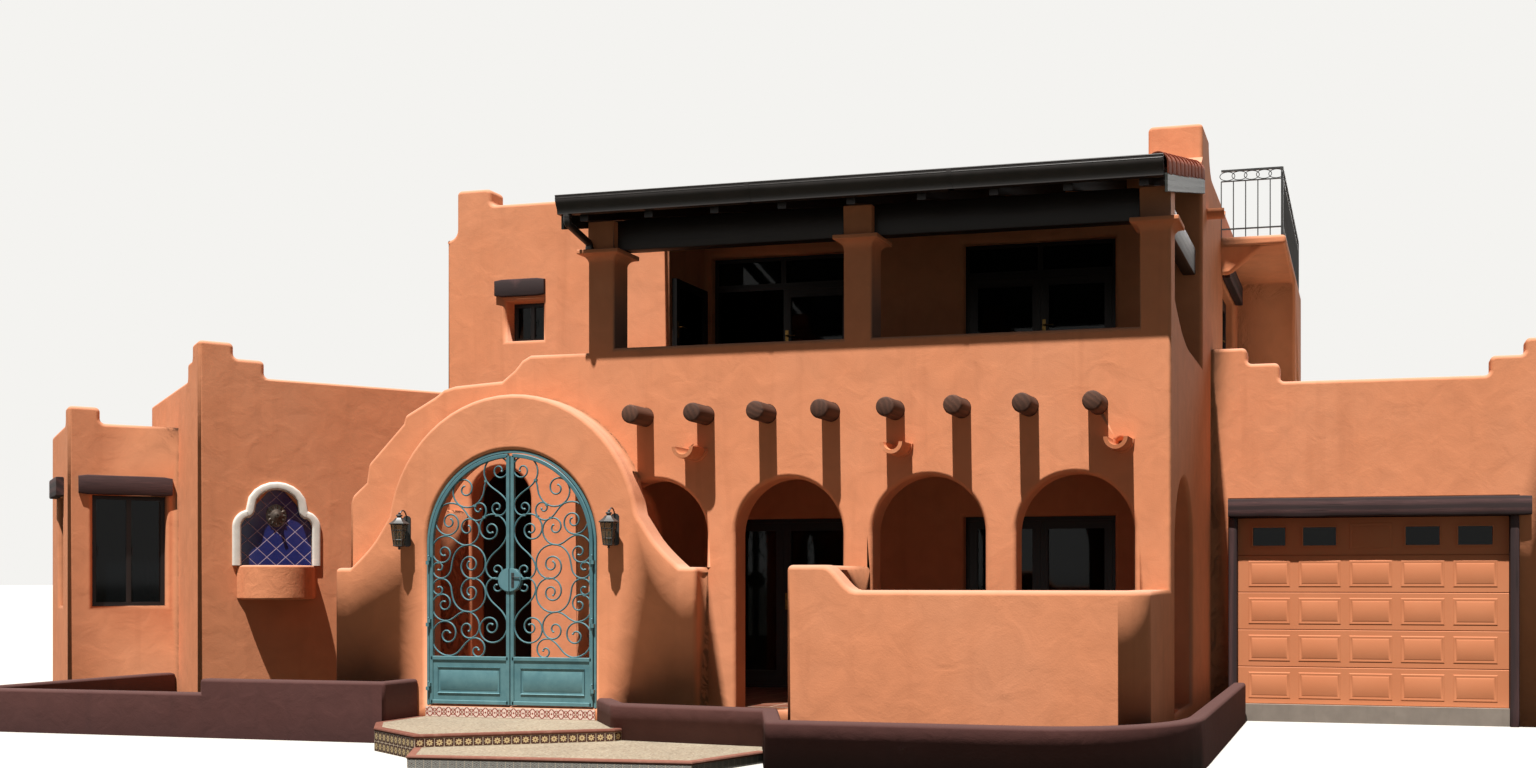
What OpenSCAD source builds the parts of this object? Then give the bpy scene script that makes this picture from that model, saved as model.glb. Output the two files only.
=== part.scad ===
/* [Main block] */
// Width of the main block, along the loggia front
main_w = 6100; // [5600:10:6800]
// Depth of the main block, front to back
main_d = 9000; // [8400:10:10500]
// Thickness of the adobe walls
wall_t = 300; // [220:10:360]
// Height of the roof parapet of the main block
main_h = 6450; // [6330:10:7280]
// Top of the ground floor above the lowest ground
floor_h = 350; // [280:5:400]
// Top of the roof deck of the main block
roof_top = 5930; // [5730:10:5980]
// Thickness of the roof decks
roof_t = 150; // [120:5:200]
// Width of the raised corner of the parapet
merlon_w = 620; // [400:10:800]
// Height of the raised corner above the parapet
merlon_h = 360; // [200:10:500]

/* [Tower] */
// Width of the tower, left of the loggia
tower_w = 2920; // [2700:10:3200]
// Set-back of the tower front behind the loggia front
tower_set = 1780; // [1500:10:2100]
// Height of the tower parapet
tower_h = 6160; // [6080:10:6380]
// Height of the tower's corner merlon above the parapet
tower_merlon_h = 200; // [100:10:300]
// Width of the tower window
tower_win_w = 490; // [400:10:700]
// Height of the tower window
tower_win_h = 470; // [350:10:700]
// Sill height of the tower window
tower_win_z = 4520; // [4280:10:4780]
// Width of the inner entry doorway
entry_w = 800; // [700:10:820]
// Crown height of the inner entry doorway
entry_crown = 3010; // [2680:10:3080]

/* [Arcade] */
// Number of front arches
arch_n = 4; // [3:1:4]
// Width of each arch
arch_w = 1160; // [1000:10:1250]
// Height of the arch crowns
arch_crown = 2690; // [2480:10:2780]
// Distance between arch centres
arch_pitch = 1470; // [1420:10:1480]
// Distance of the last arch centre from the corner
arch_last = 930; // [860:10:1000]
// Width of the arch in the right-hand side wall
side_arch_w = 1480; // [1200:10:1600]

/* [Logs and drain spouts] */
// Number of projecting logs
viga_n = 8; // [6:1:8]
// Diameter of the logs
viga_d = 200; // [160:5:220]
// Projection of the logs from the wall
viga_out = 330; // [200:10:450]
// Distance between log centres
viga_pitch = 678; // [640:1:720]
// Distance of the last log from the corner
viga_last = 700; // [640:10:760]
// Number of clay drain spouts under the logs
canale_n = 3; // [1:1:3]
// Outside width of a drain spout
canale_w = 240; // [180:5:260]
// Projection of a drain spout
canale_out = 300; // [200:10:400]
// Top of the drain spouts
canale_top = 3000; // [2930:10:3040]

/* [Loggia] */
// Depth of the loggia, from its front to the room wall
loggia_d = 2700; // [2400:10:3000]
// Top of the loggia parapet
sill_h = 4070; // [3930:10:4230]
// Thickness of the loggia floor
loggia_floor_t = 100; // [80:5:140]
// Width of a loggia pier
pier_w = 300; // [260:10:340]
// Depth of a loggia pier
pier_d = 300; // [240:10:300]
// Underside of the pier capitals
cap_z = 4960; // [4780:10:5030]
// Height of the pier capitals
cap_h = 130; // [100:5:160]
// Overhang of the capitals on each side
cap_out = 85; // [60:5:110]
// Thickness of the loggia beam
beam_t = 150; // [120:5:180]
// Number of loggia doors on each storey
door_n = 2; // [1:1:2]
// Width of a loggia door opening
door_w = 1800; // [1500:10:1900]
// Height of the loggia doors
door_h = 2050; // [1900:10:2150]

/* [Loggia roof] */
// Projection of the eave in front of the loggia
eave_out = 550; // [450:10:650]
// Height of the eave, at the top of the gutter
eave_h = 5530; // [5480:5:5560]
// Slope of the loggia roof in degrees
roof_slope = 14.2; // [10:0.1:14.6]
// Thickness of the roof boards
board_t = 30; // [20:1:40]
// Room for the clay tiles above the boards
tile_h = 90; // [70:5:100]
// Depth of the rafters
rafter_h = 150; // [120:5:180]
// Width of the rafters
rafter_w = 90; // [70:5:120]
// Number of rafters
rafter_n = 9; // [7:1:10]
// Height of the gutter
gutter_h = 180; // [140:5:200]
// Width of the gutter
gutter_w = 120; // [100:5:140]
// Diameter of the downspout
spout_d = 76; // [60:1:90]

/* [Entry gate] */
// Width of the gate opening
gate_w = 1970; // [1700:10:2050]
// Crown height of the gate opening
gate_crown = 3005; // [2880:5:3080]
// Distance of the gate centre left of the loggia corner
gate_off = 740; // [700:10:800]
// Projection of the arched layer in front of the court wall
layer_t = 280; // [240:10:320]
// Outer radius of the arched layer
layer_r = 1460; // [1380:10:1500]
// Height of the arched layer's centre
layer_z = 2130; // [2030:10:2180]
// Height of the shoulders beside the arched layer
shoulder_h = 1790; // [1680:10:1880]
// Thickness of the court wall
court_t = 250; // [200:10:280]
// Width of the fixed gate frame bar
frame_bar = 25; // [20:1:35]
// Width of the leaf frame bars
leaf_bar = 40; // [35:1:50]
// Thickness of the gate leaves
leaf_t = 40; // [35:1:50]
// Height of the kick panels
kick_h = 500; // [400:10:600]
// Gap round and between the leaves
leaf_gap = 10; // [8:1:14]
// Gap under the leaves
foot_gap = 12; // [10:1:20]
// Diameter of the round lock plate
lock_d = 250; // [200:10:280]
// Height of the lock plate centre above the floor
lock_z = 1310; // [1200:10:1400]

/* [Entry steps] */
// Height of the landing in front of the gate
landing_h = 227; // [200:1:240]
// Depth of the landing in front of the gate
landing_d = 1640; // [1500:10:1700]
// Height of the broad lower step
step_h = 110; // [80:5:130]

/* [Wing] */
// Angle of the wing's long wall to the loggia front
wing_a = 51; // [47:0.5:54]
// Place of the wing's near corner, left of the tower
wing_x = 2880; // [2800:10:3000]
// Place of the wing's near corner behind the loggia front
wing_y = 1030; // [950:10:1100]
// Depth of the wing
wing_d = 4200; // [4050:10:4400]
// Parapet height of the wing
wing_h = 4155; // [4030:5:4280]
// Rise of the wing's first corner step
wing_step1 = 215; // [150:5:260]
// Rise of the wing's second corner step
wing_step2 = 190; // [150:5:240]

/* [Bay] */
// Set-back of the low bay from the wing's near corner
bay_set = 1590; // [1400:10:1700]
// Projection of the low bay from the wing
bay_w = 1200; // [1000:10:1400]
// Depth of the low bay
bay_d = 2410; // [2200:10:2450]
// Parapet height of the low bay
bay_h = 3630; // [3530:5:3730]
// Rise of the bay's corner step
bay_step = 200; // [150:5:250]
// Width of the bay windows
bay_win_w = 800; // [600:10:900]

/* [Niche fountain] */
// Distance of the niche centre from the wing's near corner
niche_x = 860; // [800:10:1000]
// Width of the niche tile panel
niche_w = 800; // [700:10:900]
// Height of the fountain ledge
niche_z = 1840; // [1730:10:1930]
// Height of the niche shoulders above the ledge
niche_shoulder = 700; // [600:10:760]
// Height of the niche crown above the ledge
niche_crown = 940; // [900:10:1000]
// Width of the surround
surround_w = 85; // [70:5:110]
// Depth of the niche
niche_d = 60; // [40:5:90]
// Height of the fountain basin
basin_h = 420; // [350:10:500]
// Depth of the water bowl in the basin
basin_deep = 300; // [200:10:330]

/* [Garage] */
// Width of the garage front
garage_w = 3960; // [3800:10:4200]
// Set-back of the garage front behind the loggia front
garage_set = 3590; // [3300:10:3800]
// Height of the garage floor
garage_floor = 200; // [160:5:230]
// Height of the garage parapet
garage_h = 3990; // [3930:10:4080]
// Rise of the garage's first corner step
garage_step1 = 220; // [150:5:260]
// Rise of the garage's second corner step
garage_step2 = 190; // [150:5:240]
// Width of the garage door opening
gdoor_w = 3060; // [2900:10:3100]
// Height of the garage door opening
gdoor_h = 2190; // [2000:10:2250]
// Distance of the door opening from the main block
gdoor_x = 310; // [280:10:380]
// Width of the door posts
post_w = 100; // [80:5:120]
// Height of the garage lintel
lintel_h = 230; // [180:5:260]

/* [Terrace wall and planters] */
// Distance of the terrace wall in front of the loggia
terrace_out = 1530; // [1400:10:1600]
// Width of the terrace bed from the house corner
terrace_w = 3250; // [3050:10:3300]
// Height of the terrace wall
terrace_h = 1570; // [1430:10:1680]
// Rise of the terrace wall towards the gate
terrace_rise = 225; // [150:5:260]
// Thickness of the terrace wall
terrace_t = 250; // [200:10:280]
// Thickness of the planter walls
planter_t = 150; // [120:5:180]
// Height of the left planter beside the gate
planter_h = 620; // [530:10:640]
// Height of the lower part of the left planter
planter_low = 470; // [380:10:500]
// Height of the right planter
planter_right_h = 460; // [380:10:530]
// Distance of the right planter's front before the loggia
planter_out = 2150; // [1900:10:2300]
// Corner radius of the right planter
planter_r = 1300; // [1000:10:1400]
// Distance of the right planter's front corner left of the house corner
planter_w = 3190; // [3100:10:3400]

/* [Rear corner] */
// Height of the balcony floor
balcony_h = 6000; // [5960:5:6080]
// Projection of the balcony
balcony_out = 810; // [700:10:900]
// Thickness of the balcony slab
balcony_t = 130; // [110:5:160]
// Distance of the balcony behind the loggia front
balcony_set = 4780; // [4500:10:4850]
// Height of the balcony railing
rail_h = 850; // [800:10:1000]
// Distance of the rear block behind the loggia front
rear_set = 7200; // [7000:10:7500]
// Width of the side door opening on the garage roof
side_door_w = 1680; // [1400:10:1750]

/* [Hidden] */
$fn = 48;

// Clearance between pieces that slide into or seat beside each other
fit = 0.3;
// Length by which a cut runs past the faces that it opens
over = 5;
// Radius of the soft shoulders of the parapet steps
soft = 60;
// Segments in each quarter of an outline's arc
arc_n = 6;

// Places worked out from the sizes above, with the loggia's right corner at the origin
tower_x0 = -main_w - tower_w;
tower_x1 = -main_w;
upper_floor = canale_top + 440 + loggia_floor_t;
viga_z = upper_floor - loggia_floor_t - viga_d / 2;
gate_x = -main_w - gate_off;
gate_r = gate_w / 2;
gate_spring = gate_crown - gate_r;
layer_y = -layer_t;
leaf_y = layer_y + 8;
knuckle_r = 11;
pin_r = 6;
knuckle_h = 40;
hinge_out = 16;
hinge_zs = [180, 850, 1500];
// Diameter of the downspout's ball elbows
elbow_d = spout_d + 12;
bay_wall_t = 250;
// Length that any wing wall or slab is drawn with before the tower ends it
wing_len = 9000;
garage_y = garage_set;
gdoor_x1 = gdoor_x + gdoor_w;
gdoor_top = garage_floor + gdoor_h;
garage_roof_top = garage_h - 260;
planter_y = -830;
terrace_x0 = -terrace_w;

stucco = "#e0925f";
stucco_shade = "#cf7f52";
brown = "#4e3838";
dark = "#2a211f";
teal = "#5a878c";
clay = "#c06a45";

// A plain rectangular block between two corners
module block(x0, x1, y0, y1, z0, z1) {
    translate([x0, y0, z0]) cube([x1 - x0, y1 - y0, z1 - z0]);
}

// A wall that follows the X axis, from its front outline in X and Z
module wall_along_x(outline, y, t) {
    translate([0, y + t, 0]) rotate([90, 0, 0]) linear_extrude(t) polygon(outline);
}

// A wall that follows the Y axis, from its side outline in Y and Z
module wall_along_y(outline, x, t) {
    translate([x, 0, 0]) rotate([90, 0, 90]) linear_extrude(t) polygon(outline);
}

// Points of an arc about c, from angle a0 to a1
function arc(c, r, a0, a1, n = arc_n) =
    [for (i = [0:n]) let (a = a0 + (a1 - a0) * i / n) [c[0] + r * cos(a), c[1] + r * sin(a)]];

// Opening with a round head, cut through a wall that follows the X axis
module arch_cut(w, crown, foot, y, t) {
    translate([0, y + t + over, crown - w / 2]) rotate([90, 0, 0]) {
        cylinder(h = t + 2 * over, d = w);
        translate([-w / 2, foot - crown + w / 2, 0])
            cube([w, crown - w / 2 - foot, t + 2 * over]);
    }
}

// Place of the wing: its near corner, turned so that x runs along the niche wall
module in_wing() {
    translate([tower_x0 - wing_x, wing_y, 0]) rotate([0, 0, wing_a]) children();
}

// Everything right of the tower's left face, which ends the wing
module beyond_tower(y0 = -1000) {
    block(tower_x0, tower_x0 + 12000, y0, main_d + 9000, -over, 9000);
}

// Everything behind the back face of the house
module beyond_back() {
    block(-30000, 10000, main_d, main_d + 20000, -over, 9000);
}

// Plate that fills the rooms of the main block, behind the loggia and the court
module room_plate(z0, z1) {
    block(tower_x0 + wall_t, tower_x1 - wall_t, tower_set + wall_t, main_d - wall_t, z0, z1);
    block(tower_x1 - wall_t, -wall_t, loggia_d + wall_t, main_d - wall_t, z0, z1);
}

module floor_slabs() color("#8a6f5c") {
    block(tower_x0 + wall_t, -main_w, court_t, main_d - wall_t, 0, floor_h);
    block(-main_w, -wall_t, wall_t, main_d - wall_t, 0, floor_h);
    room_plate(upper_floor - 200, upper_floor);
    block(0, garage_w - wall_t, garage_y + wall_t, main_d - wall_t, 0, garage_floor);
    block(gdoor_x, gdoor_x1, garage_y, garage_y + wall_t, 0, garage_floor);
    difference() {
        in_wing() block(wall_t + fit, wing_len, wall_t + fit, wing_d - wall_t - fit, 0, floor_h);
        translate([-fit, 0, 0]) beyond_tower();
        translate([0, -wall_t - fit, 0]) beyond_back();
    }
}

module roof_slabs() color("#9a8573") {
    room_plate(roof_top - roof_t, roof_top);
    block(0, garage_w - wall_t, garage_y + wall_t, main_d - wall_t,
        garage_roof_top - roof_t, garage_roof_top);
    difference() {
        in_wing() block(wall_t, wing_len, wall_t, wing_d - wall_t,
            wing_h - 260 - roof_t, wing_h - 260);
        beyond_tower();
        translate([0, -wall_t, 0]) beyond_back();
    }
    in_wing() block(-bay_w + bay_wall_t, 0, bay_set + bay_wall_t, bay_set + bay_d - bay_wall_t,
        bay_h - 260 - roof_t, bay_h - 260);
}

// Front wall of the arcade, with its arches, log holes and drain holes
module arcade_wall() color(stucco) {
    difference() {
        block(-main_w, 0, 0, wall_t, 0, sill_h);
        for (i = [0:arch_n - 1]) {
            translate([-arch_last - i * arch_pitch, 0, 0])
                arch_cut(arch_w, arch_crown, floor_h, 0, wall_t);
        }
        for (i = [0:viga_n - 1]) {
            translate([-viga_last - i * viga_pitch, wall_t + over, viga_z]) rotate([90, 0, 0])
                cylinder(h = wall_t + 2 * over, d = viga_d + 2 * fit);
        }
        for (i = [0:canale_n - 1]) {
            translate([canale_x(i), wall_t + over, canale_top - 40]) rotate([90, 0, 0])
                cylinder(h = wall_t + 2 * over, d = 70);
        }
    }
}

function canale_x(i) = -480 - i * 2200;

// Right-hand side wall, with the side arch, the low loggia side and the roof-terrace door
module main_right_wall() color(stucco_shade) {
    difference() {
        wall_along_y(side_outline(), -wall_t, wall_t);
        translate([0, wall_t + side_arch_w / 2, 0]) rotate([0, 0, 90])
            arch_cut(side_arch_w, arch_crown, floor_h, 0, wall_t);
        block(-wall_t - over, over, side_door_y, side_door_y + side_door_w,
            garage_roof_top + 60, side_lintel_z);
    }
}

side_door_y = balcony_set + 270;
side_lintel_z = balcony_h - balcony_t - 370;

// Side outline of the right-hand wall, in Y and Z
function side_outline() = let (y = loggia_d, top = main_h + merlon_h, run = 1250, rise = 330) concat(
    [[wall_t, 0], [main_d - wall_t, 0], [main_d - wall_t, main_h], [y + 1050, main_h]],
    arc([y + 1050, top], merlon_h, 270, 180),
    [[y + 400, top], [y, top], [y, sill_h], [pier_d + run, sill_h]],
    [for (i = [1:8]) let (k = i / 8) [pier_d + run * (1 - k) + (wall_t - pier_d) * k,
        sill_h + rise * k * k]]);

module main_back_wall() color(stucco_shade) {
    wall_along_x(concat([[tower_x0, 0], [0, 0], [0, main_h], [tower_x1, main_h]],
        [[tower_x1 - 100, tower_h], [tower_x0, tower_h]]), main_d - wall_t, wall_t);
}

function door_x(i) = -1000 - i * (door_w + 1400) - door_w;

module main_front_wall() color(stucco_shade) {
    top = main_h + merlon_h;
    difference() {
        wall_along_x(concat([[-main_w, floor_h], [-wall_t, floor_h], [-wall_t, top]],
            [[-merlon_w + soft, top]],
            arc([-merlon_w + soft, top - soft], soft, 90, 180),
            arc([-merlon_w - soft, main_h + soft], soft, 0, -90),
            [[-main_w, main_h]]), loggia_d, wall_t);
        for (i = [0:door_n - 1], z = [floor_h, upper_floor]) {
            block(door_x(i), door_x(i) + door_w, loggia_d - over, loggia_d + wall_t + over,
                z, z + door_h);
        }
    }
}

entry_x = tower_x0 + 720;
tower_win_x = tower_x0 + 800;

module tower_front_wall() color(stucco) {
    top = tower_h + tower_merlon_h;
    difference() {
        wall_along_x(concat([[tower_x0, 0], [tower_x0 + wall_t, 0],
            [tower_x0 + wall_t, floor_h], [tower_x1, floor_h], [tower_x1, tower_h]],
            [[tower_x0 + 590 + 2 * soft, tower_h]],
            arc([tower_x0 + 590 + soft, tower_h + soft], soft, 270, 180),
            arc([tower_x0 + 590 - soft, top - soft], soft, 0, 90),
            arc([tower_x0 + 130 + soft, top - soft], soft, 90, 180),
            arc([tower_x0 + 130 - 2 * soft, tower_h - 390 + 2 * soft], 2 * soft, 0, -90),
            [[tower_x0, tower_h - 390]]), tower_set, wall_t);
        translate([entry_x, 0, 0]) arch_cut(entry_w, entry_crown, floor_h, tower_set, wall_t);
        block(tower_win_x, tower_win_x + tower_win_w, tower_set - over, tower_set + wall_t + over,
            tower_win_z, tower_win_z + tower_win_h);
    }
}

module tower_left_wall() color(stucco_shade) {
    low = tower_h - 390;
    y0 = tower_set + wall_t;
    wall_along_y(concat([[y0, 0], [main_d - wall_t, 0], [main_d - wall_t, tower_h],
        [y0 + 400, tower_h]], [[y0 + 300, low], [y0, low]]), tower_x0, wall_t);
}

// Inner side of the tower, and the arched wall between the court and the arcade
module tower_right_wall() color(stucco_shade) {
    w = side_arch_w - 250;
    block(tower_x1 - wall_t, tower_x1, tower_set + wall_t, loggia_d + wall_t, floor_h, tower_h);
    difference() {
        block(tower_x1 - wall_t, tower_x1, court_t, tower_set, floor_h, sill_h);
        translate([tower_x1, (court_t + tower_set) / 2, 0]) rotate([0, 0, 90])
            arch_cut(w, arch_crown, floor_h - over, 0, wall_t);
    }
}

module loggia_floor() color("#7d6656") {
    block(-main_w, -wall_t, wall_t, loggia_d, upper_floor - loggia_floor_t, upper_floor);
}

// Logs that carry the loggia floor and show their ends in front of the wall
module vigas() color(brown) {
    for (i = [0:viga_n - 1]) {
        translate([-viga_last - i * viga_pitch, loggia_d, viga_z]) rotate([90, 0, 0])
            cylinder(h = loggia_d + viga_out, d = viga_d);
    }
}

// Half-round clay spouts under the logs
module canales() color(clay) {
    for (i = [0:canale_n - 1]) {
        translate([canale_x(i), 0, canale_top]) rotate([90, 0, 0]) difference() {
            cylinder(h = canale_out, d = canale_w);
            translate([0, 0, -over]) cylinder(h = canale_out + 2 * over, d = canale_w - 60);
            translate([-canale_w, 0, -over]) cube([2 * canale_w, canale_w, canale_out + 2 * over]);
        }
    }
    translate([0, loggia_d + 500, roof_top + 10]) rotate([90, 0, 90]) difference() {
        cylinder(h = 200, d = 200);
        translate([0, 0, -over]) cylinder(h = 200 + 2 * over, d = 140);
        translate([-200, 0, -over]) cube([400, 200, 200 + 2 * over]);
    }
}

pier_xs = [-main_w, -main_w / 2 - pier_w / 2 - 80, -pier_w];
block_top = under_rafters(0);

// Height of the underside of the rafters at depth y
function roof_at(y) = eave_h + (y + eave_out) * tan(roof_slope);
function under_rafters(y) = roof_at(y) - tile_h - (board_t + rafter_h) / cos(roof_slope);

// Outline of a capital across a pier of the given width
function cap_outline(w) = concat(
    [[-w / 2, 0], [w / 2, 0]],
    arc([w / 2 + cap_out, 0], cap_out, 180, 90),
    [[w / 2 + cap_out, cap_h], [-w / 2 - cap_out, cap_h]],
    arc([-w / 2 - cap_out, 0], cap_out, 90, 0));

// Piers of the loggia with coved capitals and the blocks that the beam runs between
module loggia_piers() color(stucco_shade) {
    for (x = pier_xs) {
        block(x, x + pier_w, 0, pier_d, sill_h, cap_z);
        translate([x + pier_w / 2, pier_d / 2, cap_z]) intersection() {
            translate([0, pier_d, 0]) rotate([90, 0, 0]) linear_extrude(2 * pier_d)
                polygon(cap_outline(pier_w));
            translate([-pier_w, 0, 0]) rotate([90, 0, 90]) linear_extrude(2 * pier_w)
                polygon(cap_outline(pier_d));
        }
        block(x, x + pier_w, 0, pier_d, cap_z + cap_h, block_top);
    }
}

module loggia_beam() color(dark) {
    y0 = (pier_d - beam_t) / 2;
    z0 = cap_z + cap_h;
    block(pier_xs[0] + pier_w, pier_xs[1], y0, y0 + beam_t, z0, under_rafters(y0));
    block(pier_xs[1] + pier_w, pier_xs[2], y0, y0 + beam_t, z0, under_rafters(y0));
    block(-(pier_w + beam_t) / 2, -(pier_w - beam_t) / 2, pier_d, loggia_d, z0, block_top);
}

// Rafters, cut plumb at the wall and at the gutter
module loggia_rafters() color(dark) {
    run = main_w - pier_w - rafter_w;
    y0 = -eave_out + gutter_w + 20;
    top = (board_t) / cos(roof_slope) + tile_h;
    for (i = [0:rafter_n - 1]) {
        wall_along_y([[y0, under_rafters(y0)], [loggia_d, under_rafters(loggia_d)],
            [loggia_d, roof_at(loggia_d) - top], [y0, roof_at(y0) - top]],
            -main_w + pier_w / 2 + i * run / (rafter_n - 1), rafter_w);
    }
}

// Boarded roof plate of the loggia
module loggia_roof() color(clay) {
    y0 = -eave_out + gutter_w;
    under = tile_h + board_t / cos(roof_slope);
    difference() {
        wall_along_y([[y0, roof_at(y0) - under], [loggia_d, roof_at(loggia_d) - under],
            [loggia_d, roof_at(loggia_d)], [y0, roof_at(y0)]], -main_w - 50, main_w + 50);
        block(-main_w - 50 - over, -main_w, tower_set, loggia_d + over, sill_h, main_h);
    }
}

// Moulded gutter along the eave, with the downspout back to the corner pier
module eaves_gutter() color(dark) {
    y0 = -eave_out;
    wall = 6;
    difference() {
        wall_along_y([[y0, eave_h], [y0, eave_h - 0.45 * gutter_h], [y0 + 25, eave_h - gutter_h],
            [y0 + gutter_w, eave_h - gutter_h], [y0 + gutter_w, eave_h]], -main_w - 50, main_w + 50);
        wall_along_y([[y0 + wall, eave_h + over], [y0 + wall, eave_h - 0.45 * gutter_h],
            [y0 + 25 + wall, eave_h - gutter_h + wall],
            [y0 + gutter_w - wall, eave_h - gutter_h + wall],
            [y0 + gutter_w - wall, eave_h + over]], -main_w - 50 + wall, main_w + 50 - 2 * wall);
    }
    x = -main_w + elbow_d / 2;
    back = -elbow_d / 2 - fit;
    pipe([[x, y0 + gutter_w - elbow_d / 2, eave_h - gutter_h],
        [x, y0 + gutter_w - elbow_d / 2, cap_z + 310], [x, back, cap_z + cap_h + 60],
        [x, back, cap_z + cap_h]]);
}

// Round pipe through the points, with ball elbows at the bends
module pipe(pts) {
    for (i = [0:len(pts) - 2]) {
        d = pts[i + 1] - pts[i];
        translate(pts[i]) rotate([0, acos(d[2] / norm(d)), atan2(d[1], d[0])])
            cylinder(h = norm(d), d = spout_d);
        if (i > 0) translate(pts[i]) sphere(d = elbow_d);
    }
}

// Frame of a pair of glazed doors, across an opening
module door_frame(w, h, t = 60, bar = 90) {
    difference() {
        block(fit, w - fit, 0, t, 0, h - fit);
        for (i = [0:1]) {
            x = fit + bar + i * (w - 2 * fit - bar) / 2;
            block(x, x + (w - 2 * fit - bar) / 2 - bar, -over, t + over, 2 * bar, h - fit - bar);
        }
    }
}

// Glass of a pair of doors
module door_panes(w, h, t = 60, bar = 90) {
    for (i = [0:1]) {
        x = fit + bar + i * (w - 2 * fit - bar) / 2;
        block(x + fit, x + (w - 2 * fit - bar) / 2 - bar - fit, t / 2 - 4, t / 2 + 4,
            2 * bar + fit, h - fit - bar - fit);
    }
}

module door_frames() color(dark) {
    for (i = [0:door_n - 1], z = [floor_h, upper_floor]) {
        translate([door_x(i), loggia_d + 120, z]) door_frame(door_w, door_h);
    }
    translate([-120, side_door_y, garage_roof_top + 60]) rotate([0, 0, 90])
        door_frame(side_door_w, side_lintel_z - garage_roof_top - 60);
}

module door_glass() color("#28323a") {
    for (i = [0:door_n - 1], z = [floor_h, upper_floor]) {
        translate([door_x(i), loggia_d + 120, z]) door_panes(door_w, door_h);
    }
    translate([-120, side_door_y, garage_roof_top + 60]) rotate([0, 0, 90])
        door_panes(side_door_w, side_lintel_z - garage_roof_top - 60);
}

// A window sash with one cross bar, filling an opening
module sash(w, h, t = 50, bar = 45) {
    difference() {
        block(fit, w - fit, 0, t, fit, h - fit);
        block(fit + bar, w / 2 - bar / 2, -over, t / 2 - 3, fit + bar, h - fit - bar);
        block(w / 2 + bar / 2, w - fit - bar, -over, t / 2 - 3, fit + bar, h - fit - bar);
    }
}

bay_win_z = bay_h - 2300;
bay_win_top = bay_h - 900;

module window_frames() color(dark) {
    translate([tower_win_x, tower_set + 180, tower_win_z]) sash(tower_win_w, tower_win_h);
    in_wing() {
        translate([-bay_w / 2 - bay_win_w / 2 + 60, bay_set + 120, bay_win_z])
            sash(bay_win_w, bay_win_top - bay_win_z);
        translate([-bay_w + 120, bay_set + 1500, bay_win_z]) rotate([0, 0, -90])
            sash(bay_win_w, bay_win_top - bay_win_z);
    }
}

// Rough timber lintels over the windows and the side door
module wood_lintels() color(brown) {
    out = 45;
    block(tower_win_x - 130, tower_win_x + tower_win_w + 40, tower_set - out, tower_set,
        tower_win_z + tower_win_h + 50, tower_win_z + tower_win_h + 260);
    block(0, 110, side_door_y - 120, side_door_y + side_door_w + 120, side_lintel_z,
        side_lintel_z + 260);
    in_wing() {
        block(-bay_w + 110, -70, bay_set - out, bay_set, bay_win_top, bay_win_top + 250);
        block(-bay_w - 90, -bay_w, bay_set + 550, bay_set + 1650, bay_win_top, bay_win_top + 250);
    }
}

// Court wall behind the arched layer, stepping down to the left, with its return to the tower
module gate_wall() color(stucco) {
    h = sill_h - 40;
    outline = [[tower_x0 + 40, 0], [tower_x1, 0], [tower_x1, h], [tower_x1 - 680, h],
        [tower_x1 - 780, h - 50], [tower_x1 - 870, h - 150], [tower_x1 - 1020, h - 260],
        [tower_x1 - 1580, h - 295], [tower_x1 - 1720, h - 330], [tower_x1 - 1830, h - 405],
        [tower_x1 - 2200, h - 596], [tower_x1 - 2220, h - 683], [tower_x1 - 2560, h - 1020],
        [tower_x1 - 2650, h - 1110], [tower_x1 - 2680, h - 1310], [tower_x1 - 2850, h - 1450],
        [tower_x0 + 40, h - 1540]];
    difference() {
        wall_along_x(outline, 0, court_t);
        translate([gate_x, 0, 0]) arch_cut(gate_w + 400, gate_crown + 200, floor_h, 0, court_t);
    }
    block(tower_x0 + 40, tower_x0 + 40 + court_t, court_t, tower_set, 0, h - 1540);
}

// Half outline of the arched layer: the arc, the flare and the shoulder
function layer_half() = concat(
    arc([0, layer_z], layer_r, 90, 8, 14),
    [for (i = [1:8]) let (k = i / 8) [layer_r + 60 + 400 * k, layer_z + 160 - 150 * k
        - (layer_z + 160 - shoulder_h - 150) * sqrt(k)]],
    [[2100, shoulder_h], [2100, 0]]);

module gate_arch() color(stucco) {
    half = layer_half();
    n = len(half);
    difference() {
        translate([gate_x, 0, 0]) wall_along_x(concat(half,
            [for (i = [0:n - 1]) [-half[n - 1 - i][0], half[n - 1 - i][1]]]), layer_y, layer_t);
        translate([gate_x, 0, 0]) arch_cut(gate_w, gate_crown, floor_h, layer_y, layer_t);
    }
}

// Arch-topped ring or plate in the gate's plane
module gate_plate(r, foot, t) {
    translate([0, t, 0]) rotate([90, 0, 0]) {
        translate([0, gate_spring, 0]) cylinder(h = t, r = r);
        translate([-r, foot, 0]) cube([2 * r, gate_spring - foot, t]);
    }
}

// Fixed frame round the opening, with the hinge pins on its jambs
module gate_frame() color(teal) {
    translate([gate_x, leaf_y, 0]) {
        difference() {
            translate([0, 10, 0]) gate_plate(gate_r, floor_h, 50);
            gate_plate(gate_r - frame_bar, floor_h - over, 50 + 2 * over);
        }
        for (side = [-1, 1], z = hinge_zs) {
            translate([side * leaf_r, -hinge_out, leaf_foot + z - knuckle_h - fit]) {
                cylinder(h = knuckle_h, r = knuckle_r);
                cylinder(h = 2 * knuckle_h, r = pin_r);
                translate([side > 0 ? 5 : -25, -knuckle_r, 0])
                    cube([20, knuckle_r + hinge_out + 10, knuckle_h]);
            }
        }
    }
}

leaf_r = gate_r - frame_bar - leaf_gap;
leaf_foot = floor_h + foot_gap;

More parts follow.
